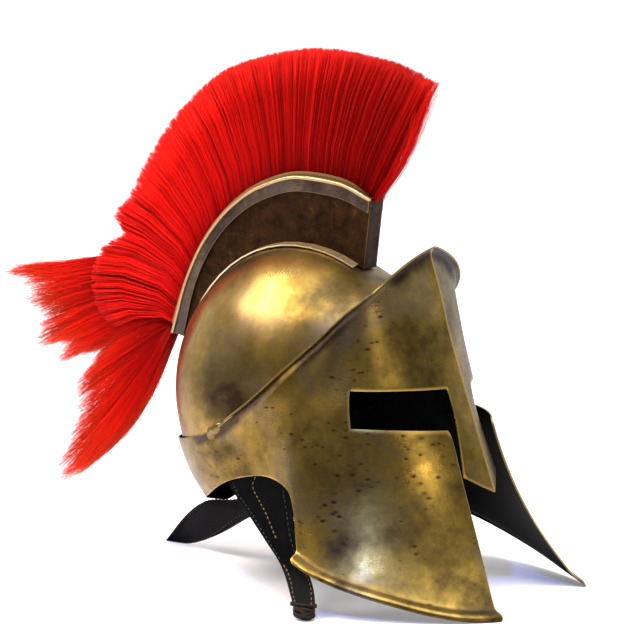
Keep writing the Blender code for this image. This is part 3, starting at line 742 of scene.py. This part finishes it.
# Bristle channel: a narrow folded trough of redder brass that holds the bristles' roots, pushed into the box.
# Its lip shows as a thin coppery line behind the moulding.
channel = welded_copy("bristle_channel", "bristle_trough")
crease_sharp(channel)
apply_modifier(channel, "smooth", "SUBSURF", levels=1, render_levels=1)
note_wear(channel, 0.0005)
channel.data.materials.append(antiqued_brass(
    "red_trough_brass",
    ((0.38, "#63401F"), (0.50, "#83602F"), (0.62, "#A07C40")),
    cloud_size=0.02, pit_share=0.08, shine=0.38, edge_gold="#9E7A4C",
))
finish_piece(channel, "bristle_channel")


# Brush: dyed horsehair, tied in bunches along the trough, combed out in a fan and cut to one line.
# Bristles are painted darker near their roots, a painted shade deep in the brush, and the bunches leave fine dark
# streaks between them.
CHANNEL_DEPTH = 0.018
ROOT_DEPTH = 0.014
ROOT_CLEARANCE = 0.0017
# foot_angle, tip_y, tip_z
BRUSH_ROWS = (
    (-28.5, -0.1660, 0.4000), (-18.0, -0.1245, 0.4165), (0.0, -0.0600, 0.4255),
    (18.0, 0.0100, 0.4130), (34.0, 0.0590, 0.3815), (46.0, 0.0945, 0.3415),
    (54.0, 0.1210, 0.3000), (57.0, 0.1340, 0.2865), (59.3, 0.1250, 0.2720),
    (61.0, 0.1440, 0.2610), (64.0, 0.1545, 0.2460), (67.3, 0.1590, 0.2280),
    (69.4, 0.1540, 0.2080), (70.6, 0.1400, 0.1915),
)
ROOT_HALF_WIDTH = 0.0062
TIP_HALF_WIDTH = 0.0140
BRISTLE_RADIUS = 0.00023
# name, first and last share of the brush's length, bristles
BRUSH_PIECES = (
    ("brush_bristles_front", 0.0, 0.34, 7600),
    ("brush_bristles_middle", 0.34, 0.62, 7200),
    ("brush_bristles_rear", 0.62, 1.0, 8600),
)
chance = np.random.default_rng(21)


def strand_piece(name, paths, radii, alongs, tints, finish):
    """Thin three-sided hairs along the paths, joined in one mesh, with how far along and how bright."""
    count, rings, _ = paths.shape
    tangent = np.gradient(paths, axis=1)
    tangent /= np.linalg.norm(tangent, axis=2, keepdims=True)
    side = np.cross(tangent, (1.0, 0.0, 0.0))
    side /= np.linalg.norm(side, axis=2, keepdims=True)
    other = np.cross(tangent, side)
    turns = chance.uniform(0, 2 * pi, (count, 1, 1)) + np.arange(3) * 2 * pi / 3
    ring = np.cos(turns)[..., None] * side[:, :, None] + np.sin(turns)[..., None] * other[:, :, None]
    corners = paths[:, :, None] + radii[..., None, None] * ring
    first = np.arange(count)[:, None] * rings * 3
    faces = []
    for level in range(rings - 1):
        for corner in range(3):
            here = level * 3 + corner
            beside = level * 3 + (corner + 1) % 3
            faces.append([here, beside, beside + 3])
            faces.append([here, beside + 3, here + 3])
    end = (rings - 1) * 3
    faces += [[0, 2, 1], [end, end + 1, end + 2]]
    faces = (first[:, None] + np.array(faces)[None]).reshape(-1, 3)
    mesh = bpy.data.meshes.new(name)
    mesh.from_pydata(corners.reshape(-1, 3), [], faces.tolist())
    mesh.shade_smooth()
    along = mesh.attributes.new("along", "FLOAT", "POINT")
    along.data.foreach_set("value", np.repeat(alongs.ravel(), 3).astype(np.float32))
    tint = mesh.attributes.new("tint", "FLOAT", "POINT")
    tint.data.foreach_set("value", np.repeat(tints, rings * 3).astype(np.float32))
    mesh.materials.append(finish)
    made = bpy.data.objects.new(name, mesh)
    bpy.context.scene.collection.objects.link(made)
    return made


def dyed_bristle_with_painted_light(name, stops, gloss):
    """Dyed horsehair: a strong red, painted darker at the roots as shade and brighter towards the ends as light,
    varied from bunch to bunch and, in the brush, by painted light and shade along its length, with a tinted sheen.
    """
    made, tree, shader = new_material(name)
    along = add_node(tree, "ShaderNodeAttribute", attribute_name="along").outputs["Fac"]
    tint = add_node(tree, "ShaderNodeAttribute", attribute_name="tint").outputs["Fac"]
    tone = add_node(tree, "ShaderNodeValToRGB", {"Fac": along}, stops=stops).outputs[0]
    lit = add_node(tree, "ShaderNodeMapRange", {"Value": tint, "To Min": 0.25, "To Max": 1.10}).outputs[0]
    shade = add_node(tree, "ShaderNodeCombineColor", {0: lit, 1: lit, 2: lit}).outputs[0]
    coloured = add_node(
        tree, "ShaderNodeMixRGB", {"Fac": 1.0, "Color1": tone, "Color2": shade}, blend_type="MULTIPLY",
    ).outputs[0]
    tree.links.new(coloured, shader.inputs["Base Color"])
    shader.inputs["Roughness"].default_value = gloss
    shader.inputs["Specular IOR Level"].default_value = 0.25
    shader.inputs["Specular Tint"].default_value = linear("#FF3A2A")
    return made


def bezier(points, shares):
    """Points of cubic curves, one curve for each strand."""
    share = shares[..., None]
    start, pull, push, end = [point[:, None] for point in points]
    return (
        start * (1 - share) ** 3 + 3 * pull * share * (1 - share) ** 2
        + 3 * push * share ** 2 * (1 - share) + end * share ** 3
    )


samples = []
for step in range(241):
    angle = BRUSH_ROWS[0][0] + (BRUSH_ROWS[-1][0] - BRUSH_ROWS[0][0]) * step / 240
    height = (above_top(angle, 0) - crest_foot(angle)).length
    root = above_top(angle, -min(ROOT_DEPTH, height - 0.0045 - ROOT_CLEARANCE, CHANNEL_DEPTH - ROOT_CLEARANCE))
    lean = (above_top(angle, 0) - crest_foot(angle)).normalized()
    samples.append((root.y, root.z, lean.y, lean.z, smooth(BRUSH_ROWS, angle, 1), smooth(BRUSH_ROWS, angle, 2)))
samples = np.array(samples)
steps = np.linalg.norm(np.diff(samples[:, 0:2] + 0.25 * samples[:, 4:6], axis=0), axis=1)
brush_shares = np.concatenate(([0], np.cumsum(steps))) / steps.sum()


def brush_values(places):
    """Root, lean and tip of bristles at these shares of the brush's length."""
    return np.stack([np.interp(places, brush_shares, samples[:, column]) for column in range(6)], axis=1)


def with_side(side, flat):
    """Points from their sideways place and their y and z."""
    return np.concatenate((side[:, None], flat), axis=1)


# Painted shade at the roots and painted light at the ends, along each bristle
bristle_red = dyed_bristle_with_painted_light(
    "dyed_horsehair_bristle",
    ((0.0, "#B00C0A"), (0.22, "#D4100C"), (0.55, "#EE1810"), (0.85, "#FF1C12"), (1.0, "#F41A10")),
    gloss=0.42,
)
BUNCHES = 260
# Painted light and shade along the brush, darker towards the front as shade and brighter towards the rear as light:
# share of the brush's length, brightness
PAINTED_LIGHT_ROWS = ((0.0, 0.30), (0.03, 0.14), (0.12, 0.20), (0.30, 0.38), (0.46, 0.55), (0.62, 0.80), (1.0, 0.70))
FRONT_STRAIGHT = 0.07
REAR_ARCH = 0.22
bunch_push = chance.normal(0, 1, (BUNCHES + 1, 7))
for name, start, end, count in BRUSH_PIECES:
    place = chance.uniform(start, end, count)
    across = chance.uniform(-1, 1, count)
    bunch = np.minimum((place * BUNCHES).astype(int), BUNCHES)
    # The bunches stand five abreast and staggered, so that they leave no lanes along the brush
    stagger = 0.36 * np.sin(bunch * 2.4)
    row = np.clip(((across + stagger + 1) * 2.5).astype(int), 0, 4)
    push = bunch_push[bunch, row]
    bunch_place = (bunch + 0.5) / BUNCHES + 0.0012 * push
    bunch_across = np.clip((row + 0.5) / 2.5 - 1 - stagger, -1, 1)
    tip_place = np.clip(place + 0.45 * (bunch_place - place) + chance.normal(0, 0.0015, count), 0, 1)
    tip_across = across + 0.35 * (bunch_across - across) + chance.normal(0, 0.03, count)
    roots = brush_values(place)
    tips = brush_values(tip_place)
    root = with_side(across * ROOT_HALF_WIDTH, roots[:, 0:2])
    lean = with_side(across * 0.06, roots[:, 2:4])
    tip = with_side(tip_across * TIP_HALF_WIDTH, tips[:, 4:6])
    reach = np.linalg.norm(tip - root, axis=1, keepdims=True)
    # The rear bunches are cut less evenly, the front bristles stand straight and the rear ones arch over
    rear = np.clip((place - 0.50) / 0.50, 0, 1)
    cut = 1.012 - 0.012 * np.abs(chance.normal(0, 1, count)) - 0.02 * tip_across ** 4
    cut -= (0.010 + 0.022 * rear) * np.abs(push)
    tip = root + (tip - root) * cut[:, None]
    straight = np.exp(-place / FRONT_STRAIGHT)[:, None]
    lean = lean * (1 - straight) + (tip - root) / reach * straight
    lean[:, 2] += REAR_ARCH * np.clip((place - 0.76) / 0.24, 0, 1)
    pull = root + lean * reach * 0.42
    push_end = tip - (tip - pull) * 0.40
    shares = np.tile(np.array([0, 0.3, 0.66, 1.0]), (count, 1))
    paths = bezier((root, pull, push_end, tip), shares)
    radii = BRISTLE_RADIUS * chance.uniform(0.8, 1.2, (count, 1)) * np.array([1.0, 1.0, 0.9, 0.55])
    # Each bristle's brightness is the painted light and shade at its place, times its bunch's and its own random tone
    painted_light = np.interp(place, [row[0] for row in PAINTED_LIGHT_ROWS], [row[1] for row in PAINTED_LIGHT_ROWS])
    wave = 1 + 0.30 * np.sin(place * 61 + 1.0) * np.sin(place * 173) + 0.16 * bunch_push[bunch, 5]
    tints = np.clip(painted_light * (wave + 0.14 * push + chance.normal(0, 0.20, count)), 0, 1)
    made = strand_piece(name, paths, radii, shares, tints, bristle_red)
    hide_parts("brush_rear" if start > 0.6 else "brush_front")
    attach(made, "root")


# Loose bristles that have sprung forward out of the brush's front edge and bow out in front of it
LOOSE_COUNT = 220
LOOSE_TIP = np.array((-0.1668, 0.3960))
LOOSE_BOW = np.array((0, -0.0085, -0.0055))
root_flat = brush_values(np.zeros(LOOSE_COUNT))[:, 0:2]
root = with_side(chance.uniform(-1, 1, LOOSE_COUNT) * ROOT_HALF_WIDTH, root_flat)
length = chance.uniform(0.55, 1.0, LOOSE_COUNT)[:, None] ** 0.5
tip = with_side(chance.normal(0, 0.004, LOOSE_COUNT), root_flat + (LOOSE_TIP - root_flat) * length)
bow = LOOSE_BOW * chance.uniform(0.1, 1.25, LOOSE_COUNT)[:, None]
shares = np.tile(np.linspace(0, 1, 7), (LOOSE_COUNT, 1))
paths = bezier((root, root + (tip - root) * 0.35 + bow, root + (tip - root) * 0.75 + bow, tip), shares)
radii = 0.00017 * np.linspace(1.0, 0.6, 7) * np.ones((LOOSE_COUNT, 1))
loose = strand_piece("brush_loose_bristles", paths, radii, shares, chance.uniform(0.3, 0.9, LOOSE_COUNT), bristle_red)
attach(loose, "root")


# Long locks: the same hair left uncut behind the brush. One lock blows back level, the other hangs down.
# Each row is a line in y and z that the hair follows from root to end, from the lock's top edge to its bottom.
UPPER_LINES = (
    (0.104, 0.2485, 0.150, 0.2500, 0.189, 0.2430, 0.228, 0.2385, 0.2648, 0.2300),
    (0.104, 0.2420, 0.146, 0.2420, 0.182, 0.2360, 0.214, 0.2310, 0.2400, 0.2270),
    (0.104, 0.2340, 0.144, 0.2330, 0.178, 0.2260, 0.209, 0.2180, 0.2420, 0.2110),
    (0.104, 0.2270, 0.142, 0.2240, 0.174, 0.2160, 0.201, 0.2070, 0.2230, 0.1970),
    (0.104, 0.2200, 0.140, 0.2150, 0.170, 0.2060, 0.198, 0.1940, 0.2240, 0.1840),
    (0.104, 0.2140, 0.138, 0.2070, 0.166, 0.1960, 0.196, 0.1800, 0.2250, 0.1650),
    (0.102, 0.2080, 0.133, 0.1990, 0.158, 0.1880, 0.181, 0.1800, 0.2000, 0.1740),
    (0.100, 0.2040, 0.129, 0.1930, 0.154, 0.1810, 0.180, 0.1680, 0.2060, 0.1540),
    (0.080, 0.2020, 0.112, 0.1960, 0.137, 0.1840, 0.156, 0.1740, 0.1740, 0.1640),
    (0.077, 0.1990, 0.101, 0.1980, 0.120, 0.1900, 0.135, 0.1800, 0.1500, 0.1700),
)
LOWER_LINES = (
    (0.077, 0.1995, 0.101, 0.2000, 0.125, 0.1920, 0.143, 0.1800, 0.1580, 0.1670),
    (0.081, 0.1965, 0.108, 0.1830, 0.136, 0.1670, 0.161, 0.1540, 0.1850, 0.1400),
    (0.080, 0.1955, 0.108, 0.1740, 0.136, 0.1530, 0.161, 0.1390, 0.1830, 0.1240),
    (0.080, 0.1945, 0.106, 0.1660, 0.136, 0.1370, 0.166, 0.1120, 0.1950, 0.0900),
    (0.080, 0.1935, 0.104, 0.1610, 0.133, 0.1270, 0.168, 0.0920, 0.2050, 0.0630),
    (0.079, 0.1925, 0.101, 0.1580, 0.129, 0.1190, 0.166, 0.0820, 0.2080, 0.0490),
    (0.079, 0.1915, 0.098, 0.1570, 0.123, 0.1170, 0.157, 0.0810, 0.1980, 0.0490),
    (0.078, 0.1905, 0.0945, 0.159, 0.115, 0.1240, 0.143, 0.0910, 0.1790, 0.0640),
    (0.078, 0.1900, 0.0890, 0.170, 0.103, 0.1430, 0.123, 0.1110, 0.1510, 0.0840),
    (0.077, 0.1890, 0.0845, 0.178, 0.093, 0.1600, 0.106, 0.1350, 0.1270, 0.1060),
)
LOCKS = (
    ("hair_lock_upper", UPPER_LINES, "tail_upper"),
    ("hair_lock_lower", LOWER_LINES, "tail_lower"),
)
LOCK_HAIRS = 5200
LOCK_DEPTH = (0.0065, 0.0115, 0.0060)
LOCK_HAIR_RADIUS = 0.00018
CLUMPS = 34
STRAY_SHARE = 0.09
RINGS = 6


def through(points, shares):
    """Points at these shares of a smooth curve through the given ones."""
    padded = np.vstack((2 * points[0] - points[1], points, 2 * points[-1] - points[-2]))
    places = np.clip(shares, 0, 1.15) * (len(points) - 1)
    first = np.minimum(places.astype(int), len(points) - 2)
    t = (places - first)[..., None]
    before, here, after, beyond = [padded[first + step] for step in range(4)]
    return 0.5 * (
        2 * here + (after - before) * t + (2 * before - 5 * here + 4 * after - beyond) * t ** 2
        + (3 * here - before - 3 * after + beyond) * t ** 3
    )


def between_lines(curves, rows, shares):
    """Points between neighbouring curves, at a row number that need not be whole and a share of the length."""
    rows = np.clip(rows, 0, len(curves) - 1.001)
    first = rows.astype(int)
    part = (rows - first)[..., None]
    steps = curves.shape[1] - 1
    places = np.clip(shares / 1.15, 0, 0.9999) * steps
    step = places.astype(int)
    between = (places - step)[..., None]
    above = curves[first, step] * (1 - between) + curves[first, step + 1] * between
    below = curves[first + 1, step] * (1 - between) + curves[first + 1, step + 1] * between
    return above * (1 - part) + below * part


# Painted shade at the roots and painted light, brighter orange, at the ends of each hair
lock_red = dyed_bristle_with_painted_light(
    "dyed_horsehair",
    ((0.0, "#840806"), (0.28, "#CC0E08"), (0.55, "#FA200C"), (0.8, "#FF3812"), (1.0, "#FF4A1C")),
    gloss=0.5,
)
for name, lines, node in LOCKS:
    curves = np.array([through(np.array(line).reshape(-1, 2), np.linspace(0, 1.15, 60)) for line in lines])
    last = len(lines) - 1
    row = chance.uniform(0, last, LOCK_HAIRS)
    # Hair gathers into pointed clumps towards its end, and each clump has its own length
    clump_row = np.linspace(0, last, CLUMPS) + chance.normal(0, 0.08, CLUMPS)
    clump = np.abs(row[:, None] - clump_row).argmin(axis=1)
    clump_reach = chance.uniform(0.90, 1.03, CLUMPS)[clump]
    stray = chance.random(LOCK_HAIRS) < STRAY_SHARE
    length = clump_reach * chance.uniform(0.60, 1.0, LOCK_HAIRS) ** 0.6
    length = np.where(stray, chance.uniform(0.85, 1.09, LOCK_HAIRS), length)
    shares = np.linspace(0, 1, RINGS) * length[:, None]
    gather = np.where(stray, 0.1, chance.uniform(0.3, 0.95, LOCK_HAIRS))
    rows = row[:, None] + (clump_row[clump] - row)[:, None] * gather[:, None] * shares ** 1.6
    rows += np.where(stray, 0.55, 0.16)[:, None] * chance.normal(0, 1, (LOCK_HAIRS, 1)) * shares ** 1.3
    flat = between_lines(curves, rows, shares)
    phase = chance.uniform(0, 2 * pi, (LOCK_HAIRS, 1))
    waves = chance.uniform(7, 15, (LOCK_HAIRS, 1))
    curl = np.where(stray, 0.0042, 0.0010)[:, None] * shares * np.sin(shares * waves + phase)
    wander = chance.normal(0, 1, (2, LOCK_HAIRS, 1)) * shares ** 2 * np.where(stray, 0.0050, 0.0013)[:, None]
    flat += np.stack((wander[0] + 0.5 * curl, wander[1] + curl), axis=-1)
    rounded = np.sqrt(1 - 0.75 * (2 * row / last - 1) ** 2)[:, None]
    depth = np.interp(shares, (0, 0.45, 1), LOCK_DEPTH) * rounded
    side = chance.uniform(-1, 1, (LOCK_HAIRS, 1)) * (1 - 0.5 * gather[:, None] * shares)
    sideways = side * depth + chance.normal(0, 1, (LOCK_HAIRS, 1)) * shares ** 2 * 0.0018
    paths = np.concatenate((sideways[..., None], flat), axis=-1)
    radii = LOCK_HAIR_RADIUS * np.where(stray, 0.65, 1.0)[:, None] * np.linspace(1.0, 0.45, RINGS)
    tints = 0.72 + 0.12 * chance.normal(0, 1, CLUMPS)[clump] + chance.normal(0, 0.14, LOCK_HAIRS)
    lock = strand_piece(name, paths, radii, shares, np.clip(tints, 0, 1), lock_red)
    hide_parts(node)
    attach(lock, "root")


# Liner petals: tongues of black chrome-tanned leather hung inside the rim, sewn with tan linen thread.
# The leather is smooth with a fine pore, a little creased, and its cut edges are left brown.
# rear_x, rear_y, rear_z, front_x, front_y, front_z
PETAL_NEAR = (
    (-0.0835, -0.042, 0.104, -0.0945, -0.098, 0.104),
    (-0.0795, -0.028, 0.084, -0.0975, -0.099, 0.084),
    (-0.0980, -0.060, 0.063, -0.1045, -0.1025, 0.072),
    (-0.1090, -0.086, 0.045, -0.1150, -0.1140, 0.047),
    (-0.1220, -0.109, 0.027, -0.1240, -0.134, 0.026),
    (-0.1340, -0.121, 0.0145, -0.1355, -0.143, 0.0155),
    (-0.1400, -0.1265, 0.0098, -0.1400, -0.1455, 0.0105),
)
PETAL_FAR_BEND = 0.070
PETAL_FAR_SWEEP = 0.090
PETAL_FAR_SPREAD = 0.0129
PETAL_FAR_DROP = 0.0115
PETAL_BACK = (
    (0.004, 0.026, 0.0800, -0.034, -0.004, 0.0780),
    (0.011, 0.018, 0.0590, -0.024, -0.010, 0.0620),
    (0.014, 0.024, 0.0490, -0.012, -0.012, 0.0500),
    (0.018, 0.038, 0.0480, -0.005, -0.005, 0.0440),
    (0.026, 0.068, 0.0455, 0.004, 0.014, 0.0360),
    (0.038, 0.098, 0.0245, 0.020, 0.056, 0.0130),
    (0.045, 0.121, 0.0006, 0.043, 0.093, 0.0008),
)
STITCH_LENGTH = 0.0030
STITCH_STEP = 0.0046
STITCH_RADIUS = 0.00042
CREASE_DEPTH = 0.0007
# share across the petal from its rear edge, then first and last share of its length
TAN_SEAMS = ((0.12, 0.60, 0.97), (0.88, 0.56, 0.97), (0.42, 0.08, 0.45))
DARK_SEAMS = ((0.10, 0.02, 0.58), (0.90, 0.02, 0.54))
BACK_SEAMS = ((0.10, 0.02, 0.96), (0.90, 0.02, 0.96))


def far_petal_table():
    """The near petal mirrored, with its free end swept back and lowered to the floor."""
    table = []
    for row in PETAL_NEAR:
        swept = []
        for x, y, z in (row[:3], row[3:]):
            share = max(0.0, 1 - z / PETAL_FAR_BEND)
            swept += [PETAL_FAR_SPREAD * share - x, y + PETAL_FAR_SWEEP * share, z - PETAL_FAR_DROP * share * share]
        table.append(tuple(swept))
    return table


def black_leather(name, edge_colour):
    """Black finished leather: soft sheen, 1 mm pores, faint creases, cut edges showing the hide's brown."""
    made, tree, shader = new_material(name)
    place = add_node(tree, "ShaderNodeTexCoord").outputs["Object"]
    pores = add_node(
        tree, "ShaderNodeTexVoronoi", {"Vector": place, "Scale": 900}, feature="DISTANCE_TO_EDGE",
    ).outputs["Distance"]
    folds = add_node(
        tree, "ShaderNodeTexNoise", {"Vector": place, "Scale": 70, "Detail": 5, "Distortion": 1.2},
    ).outputs[0]
    tone = add_node(
        tree, "ShaderNodeValToRGB", {"Fac": folds}, stops=((0.35, "#020202"), (0.6, "#040404"), (0.8, "#0B0909")),
    ).outputs[0]
    wear = add_node(tree, "ShaderNodeAttribute", attribute_name="wear").outputs["Fac"]
    cut = add_node(
        tree, "ShaderNodeMapRange", {"Value": wear, "From Min": 0.75, "From Max": 1.0, "To Min": 0.0, "To Max": 0.9},
    ).outputs[0]
    coloured = add_node(
        tree, "ShaderNodeMixRGB", {"Fac": cut, "Color1": tone, "Color2": linear(edge_colour)},
    ).outputs[0]
    tree.links.new(coloured, shader.inputs["Base Color"])
    shader.inputs["Roughness"].default_value = 0.45
    shader.inputs["Specular IOR Level"].default_value = 0.035
    both = add_node(tree, "ShaderNodeMath", {0: pores, 1: folds}, operation="ADD").outputs[0]
    bump = add_node(tree, "ShaderNodeBump", {"Strength": 0.25, "Distance": 0.0005, "Height": both})
    tree.links.new(bump.outputs[0], shader.inputs["Normal"])
    return made


def linen_thread(name, colour):
    """Waxed linen thread: dull, with a twist every half millimetre."""
    made, tree, shader = new_material(name)
    place = add_node(tree, "ShaderNodeTexCoord").outputs["Object"]
    twist = add_node(tree, "ShaderNodeTexNoise", {"Vector": place, "Scale": 1900, "Detail": 2}).outputs[0]
    tone = add_node(
        tree, "ShaderNodeValToRGB", {"Fac": twist}, stops=((0.3, "#0E0B08"), (0.55, colour)),
    ).outputs[0]
    tree.links.new(tone, shader.inputs["Base Color"])
    shader.inputs["Roughness"].default_value = 0.7
    bump = add_node(tree, "ShaderNodeBump", {"Strength": 0.4, "Distance": 0.0002, "Height": twist})
    tree.links.new(bump.outputs[0], shader.inputs["Normal"])
    return made


def one_stitch():
    """A pulled stitch along Y: a fat middle and pointed ends that go into the leather."""
    bpy.ops.mesh.primitive_cylinder_add(vertices=6, radius=STITCH_RADIUS, depth=STITCH_LENGTH, rotation=(pi / 2, 0, 0))
    made = bpy.context.object
    bpy.ops.object.transform_apply(location=True, rotation=True, scale=True)
    bpy.ops.object.mode_set(mode="EDIT")
    bpy.ops.mesh.select_all(action="SELECT")
    bpy.ops.mesh.bisect(plane_co=(0, -STITCH_LENGTH / 4, 0), plane_no=(0, 1, 0))
    bpy.ops.mesh.select_all(action="SELECT")
    bpy.ops.mesh.bisect(plane_co=(0, STITCH_LENGTH / 4, 0), plane_no=(0, 1, 0))
    bpy.ops.object.mode_set(mode="OBJECT")
    for corner in made.data.vertices:
        far = abs(corner.co.y) > STITCH_LENGTH * 0.4
        corner.co.x *= 0.5 if far else 1.0
        corner.co.z = corner.co.z * 0.4 - STITCH_RADIUS if far else corner.co.z
    return made


def sew(petal, table, seams, name, thread):
    """Rows of stitches along a petal's seams, on its surface, joined in one piece."""
    pattern = one_stitch()
    corners = np.array([corner.co for corner in pattern.data.vertices])
    faces = [tuple(face.vertices) for face in pattern.data.polygons]
    bpy.data.objects.remove(pattern)
    edges = np.array(table)
    rows_of_seam = np.linspace(0, 1, len(edges))
    all_corners, all_faces = [], []
    for share, start, end in seams:
        line = edges[:, :3] + (edges[:, 3:] - edges[:, :3]) * share
        dense = through(line, np.linspace(start, end, 200))
        run = np.concatenate(([0], np.cumsum(np.linalg.norm(np.diff(dense, axis=0), axis=1))))
        for length in np.arange(STITCH_STEP / 2, run[-1], STITCH_STEP):
            place = Vector([np.interp(length, run, dense[:, axis]) for axis in range(3)])
            ahead = Vector([np.interp(length + 0.001, run, dense[:, axis]) for axis in range(3)]) - place
            row = start + (end - start) * length / run[-1]
            wide = Vector([
                np.interp(row, rows_of_seam, edges[:, 3 + axis] - edges[:, axis]) for axis in range(3)
            ])
            if ahead.length < 1e-6:
                continue
            face_out = ahead.cross(wide).normalized()
            for out in (face_out, -face_out):
                found, point, normal, _ = petal.closest_point_on_mesh(place + out * 0.004)
                if not found or normal.dot(out) < 0.5:
                    continue
                along = (ahead - normal * ahead.dot(normal)).normalized()
                turned = np.array([along.cross(normal), along, normal])
                first = len(all_corners) * len(corners)
                all_corners.append(corners @ turned + np.array(point + normal * STITCH_RADIUS * 0.5))
                all_faces += [tuple(first + corner for corner in face) for face in faces]
    mesh = bpy.data.meshes.new(name)
    mesh.from_pydata(np.concatenate(all_corners), [], all_faces)
    mesh.shade_smooth()
    mesh.materials.append(thread)
    made = bpy.data.objects.new(name, mesh)
    bpy.context.scene.collection.objects.link(made)
    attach(made, "root")


leather = black_leather("black_chrome_tanned_leather", "#2A211A")
raw_edge_leather = black_leather("black_leather_with_raw_edge", "#6B5646")
tan_thread = linen_thread("tan_linen_thread", "#80622F")
dark_thread = linen_thread("dark_waxed_linen_thread", "#1C1610")
for node, table, hide, tan_seams, dark_seams in (
    ("petal_near", PETAL_NEAR, leather, TAN_SEAMS, DARK_SEAMS),
    ("petal_far", far_petal_table(), leather, TAN_SEAMS, DARK_SEAMS),
    ("petal_back", PETAL_BACK, raw_edge_leather, (), BACK_SEAMS),
):
    petal = welded_copy(node, node + "_leather")
    crease_sharp(petal)
    apply_modifier(petal, "smooth", "SUBSURF", levels=3, render_levels=3)
    beat(petal, CREASE_DEPTH, 0.03)
    apply_modifier(
        petal, "skived edges", "BEVEL",
        width=0.0005, segments=2, limit_method="ANGLE", angle_limit=radians(50), use_clamp_overlap=True,
    )
    note_wear(petal, 0.0009)
    petal.data.materials.append(hide)
    finish_piece(petal, node)
    if tan_seams:
        sew(petal, table, tan_seams, node + "_tan_stitches", tan_thread)
    sew(petal, table, dark_seams, node + "_dark_stitches", dark_thread)


# Drawstring knot: a waxed black thong wound into a bundle under the near petal's end and tied round it.
# The thong is round, 2.4 mm thick, and the turns lie over each other in every direction.
KNOT_CENTRE = Vector((-0.1437, -0.1382, 0.0056))
KNOT_REACH = Vector((0.0066, 0.0094, 0.0042))
KNOT_TURNS = 11
THONG_RADIUS = 0.0012
TIE_CENTRE = Vector((-0.1403, -0.1360, 0.0106))
TIE_REACH = (0.0034, 0.0106)
TIE_TURNS = 2
thong = []
for step in range(KNOT_TURNS * 20 + 1):
    turn = step / 20 * 2 * pi
    lean = 1.15 * sin(turn * 0.31) + 0.35 * sin(turn * 0.83)
    swing = 0.5 * sin(turn * 0.23 + 1.0)
    flat = Vector((cos(turn), sin(turn), 0.0))
    lifted = Vector((flat.x * cos(lean), flat.y * cos(swing), flat.x * sin(lean) + flat.y * sin(swing)))
    size = 0.86 + 0.14 * sin(turn * 0.47)
    thong.append(KNOT_CENTRE + Vector([lifted[axis] * KNOT_REACH[axis] * size for axis in range(3)]))
for step in range(TIE_TURNS * 20 + 1):
    turn = step / 20 * 2 * pi
    rise = 0.0016 * step / (TIE_TURNS * 20) - 0.0008
    thong.append(TIE_CENTRE + Vector((cos(turn) * TIE_REACH[0], sin(turn) * TIE_REACH[1], rise)))
knot = rod("drawstring_bundle", thong, THONG_RADIUS, sides=8, tips=0.5)
for corner in knot.data.vertices:
    corner.co.z = max(corner.co.z, 0.0002)
knot.data.materials.append(leather)
note_wear(knot, 0.0002)
finish_piece(knot, "drawstring_knot", smooth_angle=60)
